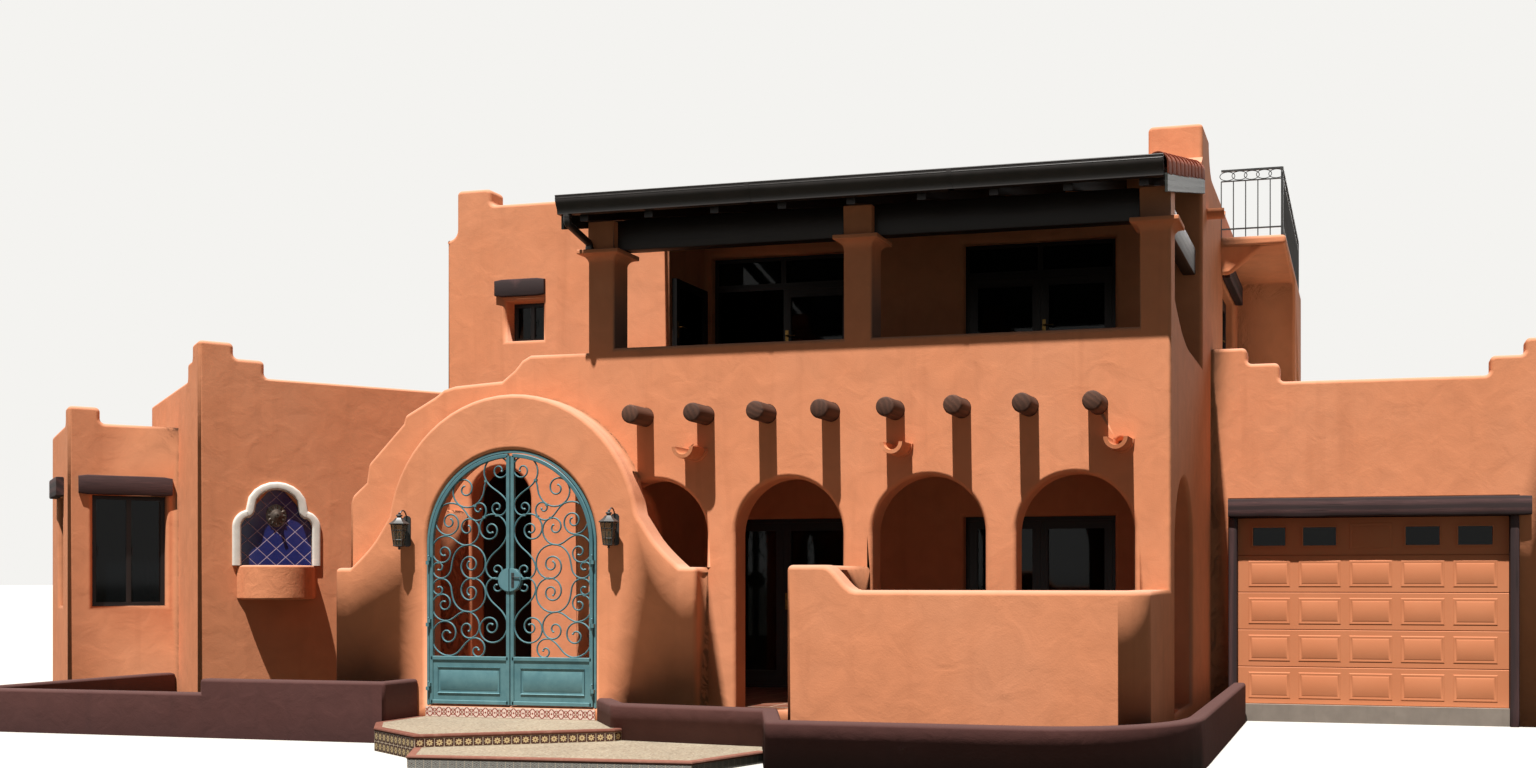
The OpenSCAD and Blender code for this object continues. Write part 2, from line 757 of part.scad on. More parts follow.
// Left gate leaf: frame bars, kick panel and half of the lock plate
module leaf() {
    intersection() {
        union() {
            difference() {
                gate_plate(leaf_r, leaf_foot, leaf_t);
                translate([0, -over, 0]) gate_plate(leaf_r - leaf_bar, leaf_foot + kick_h,
                    leaf_t + 2 * over);
                block(-leaf_r + leaf_bar, leaf_r, -over, leaf_t + over, leaf_foot + leaf_bar,
                    leaf_foot + kick_h - leaf_bar);
            }
            block(-leaf_gap / 2 - leaf_bar, 0, 0, leaf_t, leaf_foot, gate_spring + leaf_r * 0.99);
            block(-leaf_r + leaf_bar, -leaf_bar, 0.3 * leaf_t, 0.7 * leaf_t,
                leaf_foot + leaf_bar, leaf_foot + kick_h - leaf_bar);
            translate([0, 0.2 * leaf_t, floor_h + lock_z]) rotate([90, 0, 0])
                cylinder(h = 0.45 * leaf_t, d = lock_d);
        }
        block(-leaf_r - over, -leaf_gap / 2, -leaf_t, 2 * leaf_t, 0, gate_crown);
    }
    for (z = hinge_zs) {
        translate([-leaf_r, -hinge_out, leaf_foot + z]) difference() {
            union() {
                cylinder(h = knuckle_h, r = knuckle_r);
                translate([0, -knuckle_r, 0]) cube([25, knuckle_r + hinge_out, knuckle_h]);
            }
            translate([0, 0, -over]) cylinder(h = knuckle_h + 2 * over, r = pin_r + fit);
        }
    }
}

module gate_leaf_left() color(teal) {
    translate([gate_x, leaf_y, 0]) leaf();
}

module gate_leaf_right() color(teal) {
    translate([gate_x, leaf_y, 0]) mirror([1, 0, 0]) leaf();
}

lantern_xs = [gate_x - 1210, gate_x + 1210];

// Iron coach lantern on a back plate
module lantern() {
    translate([-45, -12, 30]) cube([90, 12, 330]);
    translate([0, -130, 0]) {
        translate([0, 0, 40]) cylinder(h = 220, r1 = 55, r2 = 80);
        translate([0, 0, 15]) cylinder(h = 25, r = 62);
        translate([0, 0, 260]) cylinder(h = 70, r1 = 100, r2 = 35);
        translate([0, 0, 330]) cylinder(h = 40, r = 22);
    }
    translate([-10, -130, 380]) rotate([0, 90, 0]) rotate_extrude(angle = 180)
        translate([45, 0]) square([14, 20]);
    translate([-10, -130, 300]) cube([20, 122, 20]);
}

module wall_lanterns() color("#2b2b2e") {
    for (x = lantern_xs) translate([x, layer_y, layer_z - 150]) lantern();
}

// Outer face of the right planter between the gate and its front corner
planter_face = [[gate_x + gate_r + 15, layer_y], [gate_x + gate_r + 520, layer_y - 620],
    [-planter_w - 480, -planter_out + 1050], [-planter_w, -planter_out]];

// Landing in front of the gate, and the broad step below it
module entry_steps() color("#b9a48d") {
    x0 = gate_x - gate_r - 80;
    front = layer_y - landing_d;
    seat = [-fit, -fit];
    corner = planter_face[1] + seat;
    edge = [planter_face[1] + seat + 0.07 * (planter_face[2] - planter_face[1]),
        planter_face[3] + seat + 0.7 * (planter_face[2] - planter_face[3])];
    nose = [edge[0] + [-20, -90], [gate_x + 80, front], [gate_x - 740, front + 520]];
    linear_extrude(landing_h) polygon([[x0, layer_y], [x0, front + 970], nose[2], nose[1],
        nose[0], edge[0], corner, planter_face[0] + [-fit, 0]]);
    linear_extrude(step_h) polygon([nose[0], nose[1] + [0, -fit], [gate_x + 400, front - 550],
        edge[1] + [-280, -850], edge[1], planter_face[2] + seat, edge[0] + seat]);
}

// Outline of a wing wall with two steps down from its corner
function stepped(len, s0, s1) = concat(
    [[0, 0], [len, 0], [len, wing_h], [s1 + 2 * soft, wing_h]],
    arc([s1 + soft, wing_h + soft], soft, 270, 180),
    arc([s1 - soft, wing_h + wing_step1 - soft], soft, 0, 90),
    arc([s0 + soft, wing_h + wing_step1 + soft], soft, 270, 180),
    arc([s0 - soft, wing_h + wing_step1 + wing_step2 - soft], soft, 0, 90),
    [[0, wing_h + wing_step1 + wing_step2]]);

// Tile panel outline: straight sides, shoulders and an ogee crown
function niche_outline(g = 0) = let (w = niche_w / 2 + g, s = niche_shoulder, c = niche_crown + g) concat(
    [[-w, 0], [w, 0], [w, s - 230]],
    arc([w - 130, s - 230], 130, 0, 70),
    arc([w - 30, s + 30], 120, 260, 180),
    arc([0, c - 200], 200, 60, 120),
    arc([-w + 30, s + 30], 120, 0, -80),
    arc([-w + 130, s - 230], 130, 110, 180));

module wing_front_wall() color(stucco) {
    difference() {
        in_wing() difference() {
            wall_along_x(stepped(wing_len, 380, 720), 0, wall_t);
            translate([niche_x, 0, niche_z]) wall_along_x(niche_outline(), -over, niche_d + over);
        }
        beyond_tower();
    }
}

module wing_left_wall() color(stucco) {
    in_wing() difference() {
        wall_along_y(stepped(wing_d - fit, 460, 830), 0, wall_t);
        block(-over, wall_t + over, -over, wall_t, -over, wing_h + 900);
    }
}

// Back of the wing, bent where it meets the line of the main block's back
module wing_back_wall() color(stucco_shade) {
    difference() {
        in_wing() block(wall_t, wing_len, wing_d - wall_t, wing_d, 0, wing_h);
        beyond_back();
        beyond_tower();
    }
    difference() {
        block(tower_x0 - 4500, tower_x0, main_d - wall_t, main_d, 0, wing_h);
        in_wing() block(-9000, 19000, wing_d - wall_t, 29000, -over, 9000);
    }
}

// Low bay beside the wing, open to it at the back
module bay_walls() color(stucco) {
    in_wing() difference() {
        union() {
            translate([-bay_w, 0, 0]) wall_along_x(bay_outline(bay_w), bay_set, bay_wall_t);
            wall_along_y([for (p = bay_outline(bay_d)) p + [bay_set, 0]], -bay_w, bay_wall_t);
            block(-bay_w, 0, bay_set + bay_d - bay_wall_t, bay_set + bay_d, 0, bay_h);
        }
        block(-bay_w / 2 - bay_win_w / 2 + 60, -bay_w / 2 + bay_win_w / 2 + 60, bay_set - over,
            bay_set + bay_wall_t + over, bay_win_z, bay_win_top);
        block(-bay_w - over, -bay_w + bay_wall_t + over, bay_set + 1500 - bay_win_w,
            bay_set + 1500, bay_win_z, bay_win_top);
    }
}

// Outline of a bay wall with one step down from its corner
function bay_outline(len) = concat(
    [[0, 0], [len, 0], [len, bay_h], [340 + soft, bay_h]],
    arc([340 + soft, bay_h + soft], soft, 270, 180),
    arc([340 - soft, bay_h + bay_step - soft], soft, 0, 90),
    [[0, bay_h + bay_step]]);

module niche_surround() color("#e9dcc6") {
    in_wing() translate([niche_x, 0, niche_z]) difference() {
        wall_along_x(niche_outline(surround_w), -35, 35);
        wall_along_x(niche_outline(), -35 - over, 35 + 2 * over);
    }
}

module fountain_basin() color(stucco) {
    r = niche_w / 2 + 10;
    in_wing() translate([niche_x, 0, niche_z]) difference() {
        translate([0, 0, -basin_h]) linear_extrude(basin_h)
            polygon(concat([[r + 50, 0]], arc([0, -40], r, 0, -180, 20), [[-r - 50, 0]]));
        translate([0, 0, -basin_deep]) linear_extrude(basin_deep + over)
            polygon(arc([0, -60], r - 100, 0, -180, 20));
    }
}

module fountain_mask() color("#3a2f2a") {
    in_wing() translate([niche_x, niche_d, niche_z + 620]) {
        rotate([90, 0, 0]) cylinder(h = 45, d = 190);
        translate([0, -45, -10]) sphere(d = 90);
    }
}

// Garage parapet outline, with stepped corners at both ends
function garage_outline() = let (a = garage_h, b = a + garage_step1, c = b + garage_step2, w = garage_w) concat(
    [[0, 0], [w, 0], [w, c]],
    step_up_left(w - 420, b, c),
    step_up_left(w - 800, a, b),
    step_down_left(800, a, b),
    step_down_left(420, b, c),
    [[0, c]]);

// Steps met while walking towards -X: down from hi to lo, or up from lo to hi
function step_up_left(x, lo, hi) = concat(
    arc([x + soft, hi - soft], soft, 90, 180), arc([x - soft, lo + soft], soft, 0, -90));
function step_down_left(x, lo, hi) = concat(
    arc([x + soft, lo + soft], soft, 270, 180), arc([x - soft, hi - soft], soft, 0, 90));

module garage_front_wall() color(stucco) {
    difference() {
        wall_along_x(garage_outline(), garage_y, wall_t);
        block(gdoor_x - post_w, gdoor_x1 + post_w, garage_y - over, garage_y + wall_t + over,
            garage_floor, gdoor_top + lintel_h);
        block(gdoor_x - post_w, gdoor_x1 + post_w, garage_y - over, garage_y + wall_t + over,
            -over, garage_floor + over);
    }
}

// Right-hand and back walls of the garage
module garage_side_walls() color(stucco_shade) {
    block(garage_w - wall_t, garage_w, garage_y + wall_t, main_d, 0, garage_h);
    block(0, garage_w - wall_t, main_d - wall_t, main_d, 0, garage_h);
}

module garage_door() color(stucco) {
    y = garage_y + 80;
    block(gdoor_x + fit, gdoor_x1 - fit, y, y + 45, garage_floor, gdoor_top - fit);
}

// Posts beside the garage door and the rough lintel over it
module garage_trim() color(brown) {
    block(gdoor_x - post_w, gdoor_x, garage_y - 60, garage_y + wall_t, 0, gdoor_top);
    block(gdoor_x1, gdoor_x1 + post_w, garage_y - 60, garage_y + wall_t, 0, gdoor_top);
    block(gdoor_x - post_w, gdoor_x1 + post_w, garage_y - 120, garage_y + wall_t,
        gdoor_top, gdoor_top + lintel_h);
}

// Low wall round the terrace bed in front of the arcade
module terrace_wall() color(stucco) {
    y = -terrace_out;
    hi = terrace_h + terrace_rise;
    r = terrace_t;
    rise_x = terrace_x0 + 650;
    front = concat([[terrace_x0, 0], [-r, 0], [-r, terrace_h], [rise_x, terrace_h]],
        [for (i = [1:8]) let (k = i / 8)
            [rise_x - 300 * k, terrace_h + terrace_rise * (3 * k * k - 2 * k * k * k)]],
        [[terrace_x0, hi]]);
    wall_along_x(front, y, terrace_t);
    translate([-r, y + r, 0]) intersection() {
        cylinder(h = terrace_h, r = r);
        translate([0, -r, 0]) cube([r, r, terrace_h]);
    }
    block(-terrace_t, 0, y + r, 0, 0, terrace_h);
    block(terrace_x0, terrace_x0 + terrace_t, y + terrace_t, 0, 0, hi);
}

function unit(v) = v / norm(v);
function left_of(v) = [-v[1], v[0]];

// Points t to the left of a path, mitred at its corners
function beside(p, t) = [for (i = [0:len(p) - 1]) let (
    a = left_of(unit(p[min(i + 1, len(p) - 1)] - p[min(i, len(p) - 2)])),
    b = left_of(unit(p[max(i, 1)] - p[max(i, 1) - 1])),
    n = unit(a + b)) p[i] + n * t / (n * a)];

// Low wall of thickness t on the left of a path
module low_wall(path, t, h) {
    inner = beside(path, t);
    n = len(path);
    linear_extrude(h) polygon(concat(path, [for (i = [1:n]) inner[n - i]]));
}

// Low planter left of the gate, with its lower run along the wing
module planter_left() color("#64464a") {
    x1 = gate_x - gate_r - 85;
    xm = x1 - 2240;
    xl = tower_x0 - 4280;
    low_wall([[xm, planter_y], [x1, planter_y], [x1, layer_y]], planter_t, planter_h);
    difference() {
        low_wall([[xl, 3000], [xl, planter_y], [xm, planter_y]], planter_t, planter_low);
        in_wing() block(-3000, 3000, bay_set, 9000, -over, 5000);
    }
}

// Low planter right of the gate, round the terrace corner to the garage
module planter_right() color("#64464a") {
    xr = 420;
    r = planter_r;
    difference() {
        low_wall(concat(planter_face, arc([xr - r, -planter_out + r], r, -90, 0, 10),
            [[xr, garage_y - 120 - fit]]), planter_t, planter_right_h);
        block(gate_x, terrace_x0, layer_y, 0, -over, 1000);
    }
}

// Balcony slab with its bracket under the front edge
module balcony_slab() color(stucco) {
    z = balcony_h - balcony_t;
    block(0, balcony_out, balcony_set, main_d, z, balcony_h);
    translate([0, balcony_set + 120, 0]) rotate([90, 0, 0]) linear_extrude(100)
        polygon([[0, z], [0, z - 340], [110, z - 340], [560, z]]);
}

// Iron railing on the two open edges of the balcony
module balcony_railing() color("#2e3230") {
    b = 25;
    x1 = balcony_out - 30;
    y0 = balcony_set + 20;
    top = balcony_h + rail_h;
    n = 14;
    block(fit, x1, y0, y0 + b, top - b, top);
    block(fit, x1, y0, y0 + b, top - 130, top - 115);
    block(x1 - b, x1, y0 + b + fit, main_d - 30, top - b, top);
    block(x1 - b, x1, y0 + b + fit, main_d - 30, top - 130, top - 115);
    for (i = [0:5]) {
        block(fit + i * (x1 - b) / 5, fit + i * (x1 - b) / 5 + 14, y0, y0 + 14, balcony_h, top - b);
    }
    for (i = [1:n]) {
        y = y0 + 4 + i * (main_d - 70 - y0) / n;
        block(x1 - b, x1 - b + 16, y, y + 16, balcony_h, top - b);
    }
}

// Small block behind the balcony, standing on the garage roof
module rear_block_walls() color(stucco_shade) {
    z1 = balcony_h - balcony_t;
    difference() {
        block(0, balcony_out, rear_set, main_d, garage_roof_top, z1);
        block(-over, balcony_out - 200, rear_set + 200, main_d - 200, 0, z1 + over);
        block(-over, garage_w, main_d - wall_t, main_d + over, 0, garage_h);
    }
}

floor_slabs();
roof_slabs();
arcade_wall();
main_right_wall();
main_back_wall();
main_front_wall();
tower_front_wall();
tower_left_wall();
tower_right_wall();
loggia_floor();
vigas();
canales();
loggia_piers();
loggia_beam();
loggia_rafters();
loggia_roof();
eaves_gutter();
door_frames();
door_glass();
window_frames();
wood_lintels();
gate_wall();
gate_arch();
gate_frame();
gate_leaf_left();
gate_leaf_right();
wall_lanterns();
entry_steps();
wing_front_wall();
wing_left_wall();
wing_back_wall();
bay_walls();
niche_surround();
fountain_basin();
fountain_mask();
garage_front_wall();
garage_side_walls();
garage_door();
garage_trim();
terrace_wall();
planter_left();
planter_right();
balcony_slab();
balcony_railing();
rear_block_walls();
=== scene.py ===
"""Adobe house: the finishes and fine pieces that stand round the fixed frame of the building."""
import logging
import math
import random
from dataclasses import dataclass, field
from enum import Enum
from functools import partial
from typing import Any, Callable, ClassVar, Sequence

import bmesh
import bpy
from mathutils import Matrix, Vector, noise


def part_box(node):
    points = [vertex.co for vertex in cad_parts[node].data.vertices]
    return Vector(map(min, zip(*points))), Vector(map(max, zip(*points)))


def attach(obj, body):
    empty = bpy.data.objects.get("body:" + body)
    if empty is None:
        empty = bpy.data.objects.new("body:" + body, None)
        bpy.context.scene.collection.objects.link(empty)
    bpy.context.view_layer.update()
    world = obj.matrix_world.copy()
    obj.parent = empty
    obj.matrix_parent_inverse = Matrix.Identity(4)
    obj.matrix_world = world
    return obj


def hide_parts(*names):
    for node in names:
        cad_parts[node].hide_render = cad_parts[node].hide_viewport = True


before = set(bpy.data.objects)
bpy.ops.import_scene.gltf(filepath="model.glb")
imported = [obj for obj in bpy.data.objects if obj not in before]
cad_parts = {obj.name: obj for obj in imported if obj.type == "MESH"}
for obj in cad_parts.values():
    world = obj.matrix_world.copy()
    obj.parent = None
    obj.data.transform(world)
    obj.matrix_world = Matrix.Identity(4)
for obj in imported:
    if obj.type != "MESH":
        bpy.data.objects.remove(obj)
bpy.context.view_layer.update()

LOG = logging.getLogger("adobe_house")

HOUSE = "house"
LEFT_LEAF = "gate_left"
RIGHT_LEAF = "gate_right"
MM = 0.001
UP = Vector((0, 0, 1))
QUARTER = math.pi / 2
EIGHTH = math.pi / 4
Point = Sequence[float]
Tree = bpy.types.NodeTree
Socket = bpy.types.NodeSocket
Adder = Callable[..., Socket]
Looks = dict[str, Any]


# Helpers for colours, nodes and meshes

def linear(code: str) -> tuple[float, float, float, float]:
    """Turn an sRGB hex code into a linear colour.

    Args:
        code: Colour such as "#e4946a".

    Returns:
        Red, green, blue and alpha for a shader socket.
    """
    parts = [int(code[i:i + 2], 16) / 255 for i in (1, 3, 5)]
    return (*[c / 12.92 if c <= 0.04045 else ((c + 0.055) / 1.055) ** 2.4 for c in parts], 1.0)


def fill(sockets: Any, values: dict[str | int, Any]) -> None:
    """Give sockets what they are to hold.

    Args:
        sockets: Sockets of one node.
        values: Socket name or number to a value, a hex colour or the output that feeds it.
    """
    for key, value in values.items():
        socket = sockets[key] if isinstance(key, int) else next(
            s for s in sockets if s.enabled and s.name == key)
        if isinstance(value, Socket):
            socket.id_data.links.new(value, socket)
        else:
            is_colour = isinstance(value, str) and value.startswith("#")
            socket.default_value = linear(value) if is_colour else value


def add_node(tree: Tree, kind: str, inputs: dict[str | int, Any] | None = None,
             out: str | int | None = None, stops: Sequence[tuple[float, str]] = (),
             **settings: Any) -> Socket:
    """Add one node with its settings, values and links.

    Args:
        tree: Shader or geometry tree that takes the node.
        kind: Blender's name for the node type.
        inputs: What its sockets hold, as for fill().
        out: Name or number of the output to return; the first one in use by default.
        stops: Places and hex colours of a colour ramp.
        settings: Attributes of the node.

    Returns:
        The output socket; its node attribute is the node.
    """
    node = tree.nodes.new(kind)
    for name, value in settings.items():
        setattr(node, name, value)
    fill(node.inputs, inputs or {})
    if stops:
        ramp = node.color_ramp.elements
        while len(ramp) < len(stops):
            ramp.new(0.5)
        for element, (place, code) in zip(ramp, stops):
            element.position = place
            element.color = linear(code)
    if out is None:
        return next((s for s in node.outputs if s.enabled), None)
    return node.outputs[out]


def arc_of(count: int, start: float, end: float) -> list[tuple[float, float]]:
    """List the cosines and sines of equal steps from one angle in degrees to another.

    Args:
        count: Number of steps.
        start: First angle.
        end: Last angle.

    Returns:
        The points on the unit circle.
    """
    turns = (math.radians(start + (end - start) * i / count) for i in range(count + 1))
    return [(math.cos(a), math.sin(a)) for a in turns]


def frame_of(x0: float, z0: float, x1: float, z1: float) -> list[tuple[float, float]]:
    """List the corners of an upright rectangle, anticlockwise."""
    return [(x0, z0), (x1, z0), (x1, z1), (x0, z1)]


def ring_of(count: int, wide: float, high: float | None = None, turn: float = 0.0) -> list:
    """List the points of a regular or stretched polygon round the origin."""
    return [(wide * math.cos(a), (high or wide) * math.sin(a))
            for a in (2 * math.pi * j / count + turn for j in range(count))]


class Piece:
    """One piece in the making: faces are added shape by shape, then it becomes an object.

    Every vertex keeps its own place in its shape, with the length of the shape along the
    third axis, as the attribute grain; wood uses it. Every shape has a shade.
    """

    def __init__(self, name: str, seed: int = 1) -> None:
        """Start an empty piece.

        Args:
            name: Name of the finished object.
            seed: Start of the row of shades.
        """
        self.name = name
        self.bm = bmesh.new()
        layers = self.bm.verts.layers
        for layer in ("grain", "tile"):
            layers.float_vector.new(layer)
        layers.float.new("shade")
        self.grain, self.tile = layers.float_vector["grain"], layers.float_vector["tile"]
        self.shade = layers.float["shade"]
        self.dice = random.Random(seed)

    def solid(self, rings: Sequence[Sequence[Point]], part: int = 0, place: Matrix | None = None,
              loop: bool = False, caps: bool = True) -> list:
        """Skin a row of closed rings that have equal counts of points.

        Args:
            rings: Rings of points, in order.
            part: Material number.
            place: Where the shape goes.
            loop: True to join the last ring to the first.
            caps: True to close both ends.

        Returns:
            The new vertices.
        """
        shade = self.dice.random()
        shift = Vector((self.dice.random(), self.dice.random(), 9 * self.dice.random()))
        rows, run, last = [], 0.0, None
        for ring in rings:
            ring = [Vector(p) for p in ring]
            middle = sum(ring, Vector()) / len(ring)
            run += (middle - last).length if last else 0.0
            last = middle
            row = []
            for point in ring:
                vert = self.bm.verts.new(point)
                away = point - middle
                wide = away.length
                turn = math.atan2(away.z if abs(away.z) > 1e-6 else away.y,
                                  away.x if abs(away.x) > 1e-6 else away.y)
                vert[self.grain] = Vector(
                    (wide * math.cos(turn), wide * math.sin(turn), run)) + shift
                vert[self.shade] = shade
                row.append(vert)
            rows.append(row)
        count = len(rows[0])
        for i in range(len(rows) if loop else len(rows) - 1):
            a, b = rows[i], rows[(i + 1) % len(rows)]
            for j in range(count):
                k = (j + 1) % count
                self.bm.faces.new((a[j], a[k], b[k], b[j]))
        if caps and not loop:
            self.bm.faces.new(rows[0][::-1])
            self.bm.faces.new(rows[-1])
        verts = [v for row in rows for v in row]
        if place is not None:
            bmesh.ops.transform(self.bm, matrix=place, verts=verts)
        for face in {f for v in verts for f in v.link_faces}:
            face.material_index = part
        return verts

    def box(self, lo: Point, hi: Point, part: int = 0, place: Matrix | None = None) -> list:
        """Add a block between two corners, with its rings along its longest side.

        Args:
            lo: Lower corner.
            hi: Upper corner.
            part: Material number.
            place: Where the block goes.

        Returns:
            The new vertices.
        """
        size = [hi[i] - lo[i] for i in range(3)]
        along = size.index(max(size))
        u, v = (along + 1) % 3, (along + 2) % 3
        rings = []
        for end in (lo, hi):
            ring = []
            for a, b in ((lo[u], lo[v]), (hi[u], lo[v]), (hi[u], hi[v]), (lo[u], hi[v])):
                point = [0.0, 0.0, 0.0]
                point[u], point[v], point[along] = a, b, end[along]
                ring.append(point)
            rings.append(ring)
        return self.solid(rings, part, place)

    def prism(self, outline: Sequence[Point], low: float, high: float, part: int = 0,
              place: Matrix | None = None) -> list:
        """Raise a flat outline in X and Y from one height to another."""
        return self.solid([[(x, y, z) for x, y in outline] for z in (low, high)], part, place)

    def lathe(self, profile: Sequence[Point], sides: int = 24, part: int = 0,
              place: Matrix | None = None, turn: float = 0.0) -> list:
        """Turn a profile of radii and heights round the Z axis."""
        return self.solid([[(x, y, z) for x, y in ring_of(sides, max(r, 1e-5), turn=turn)]
                           for r, z in profile], part, place)

    def sweep(self, path: Sequence[Point], section: Sequence[Point], part: int = 0,
              loop: bool = False, place: Matrix | None = None,
              sizes: Sequence[float] | None = None, side: Vector | None = None) -> list:
        """Sweep a closed section along a path, mitred at its corners.

        Args:
            path: Points that the origin of the section follows.
            section: Points across (u) and above (v) the path.
            part: Material number.
            loop: True for a closed path.
            place: Where the shape goes.
            sizes: Scale of the section at each point of the path.
            side: Direction of u at the start; level and to the right by default.

        Returns:
            The new vertices.
        """
        pts = [Vector(p) for p in path]
        n = len(pts)
        legs = [(pts[(i + 1) % n] - pts[i]).normalized() for i in range(n)]
        if not loop:
            legs[-1] = legs[-2]
        if side is None:
            side = legs[0].cross(UP if abs(legs[0].z) < 0.9 else Vector((0, 1, 0)))
        rings = []
        for i, point in enumerate(pts):
            leg = legs[i - 1] if i or loop else legs[0]
            mitre = (leg + (legs[i] if loop or i + 1 < n else leg)).normalized()
            side = (side - leg * side.dot(leg)).normalized()
            rise = side.cross(leg)
            size = sizes[i] if sizes else 1.0
            ring = []
            for u, v in section:
                away = (side * u + rise * v) * size
                ring.append(point + away - leg * (away.dot(mitre) / max(leg.dot(mitre), 0.2)))
            rings.append(ring)
        return self.solid(rings, part, place, loop)

    def tube(self, path: Sequence[Point], radius: float | Sequence[float], sides: int = 10,
             part: int = 0, loop: bool = False, place: Matrix | None = None) -> list:
        """Sweep a round section of one radius, or of one for each point, along a path.

        Args:
            path: Points that the middle follows.
            radius: In metres.
            sides: Sides of the section.
            part: Material number.
            loop: True for a closed path.
            place: Where the tube goes.

        Returns:
            The new vertices.
        """
        one = isinstance(radius, (int, float))
        return self.sweep(path, ring_of(sides, radius if one else 1.0), part, loop, place,
                          None if one else radius)

    def timber(self, lo: Point, hi: Point, rough: float, corner: float = 14 * MM,
               place: Matrix | None = None, pitch: float = 0.09) -> list:
        """Add a hewn timber whose faces wave inward from a block's faces.

        Args:
            lo: Lower corner.
            hi: Upper corner.
            rough: Depth of the waves, in metres.
            corner: Radius of the worn arrises.
            place: Where the timber goes.
            pitch: Distance between the rings of points.

        Returns:
            The new vertices.
        """
        size = [hi[i] - lo[i] for i in range(3)]
        along = size.index(max(size))
        u, v = (along + 1) % 3, (along + 2) % 3
        seed = Vector((self.dice.uniform(0, 50), self.dice.uniform(0, 50), 0))
        shape = []
        for su, sv, start in ((1, 1, 0), (-1, 1, 90), (-1, -1, 180), (1, -1, 270)):
            for angle in (0, 45, 90):
                a = math.radians(start + angle)
                shape.append((su * (size[u] / 2 - corner) + corner * math.cos(a),
                              sv * (size[v] / 2 - corner) + corner * math.sin(a)))
            shape.append({0: (0, size[v] / 2), 90: (-size[u] / 2, 0), 180: (0, -size[v] / 2),
                          270: (size[u] / 2, 0)}[start])
        rings = []
        count = max(2, round(size[along] / pitch))
        for i in range(count + 1):
            s = i / count
            ends = 1 - 0.5 * corner / min(size[u], size[v]) * (1 if i in (0, count) else 0)
            ring = []
            for a, b in shape:
                place_noise = Vector((a * 4, b * 4, s * size[along] * 2.2)) + seed
                depth = rough * (0.5 + 0.5 * noise.noise(place_noise)
                                 + 0.25 * noise.noise(place_noise * 3.1))
                depth = min(max(depth, 0.0), 1.4 * rough)
                wide = math.hypot(a, b)
                scale = ends * (wide - depth) / wide
                point = [0.0, 0.0, 0.0]
                point[u] = (lo[u] + hi[u]) / 2 + a * scale
                point[v] = (lo[v] + hi[v]) / 2 + b * scale
                point[along] = lo[along] + size[along] * s
                ring.append(point)
            rings.append(ring)
        return self.solid(rings, 0, place)

    def done(self, *finishes: "Finish", body: str = HOUSE, slot: str | None = None,
             stands_for: Sequence[str] = (), smooth: float | None = 35.0) -> bpy.types.Object:
        """Make the object, dress it and fasten it to its body.

        Args:
            finishes: Materials by material number.
            body: CAD body that carries the piece.
            slot: Name of a material slot; not used.
            stands_for: CAD nodes that the piece replaces.
            smooth: Angle in degrees up to which faces shade smoothly; None for flat faces.

        Returns:
            The finished object.
        """
        bmesh.ops.recalc_face_normals(self.bm, faces=self.bm.faces)
        mesh = bpy.data.meshes.new(self.name)
        self.bm.to_mesh(mesh)
        self.bm.free()
        return fasten(self.name, mesh, finishes, body, slot, stands_for, smooth)


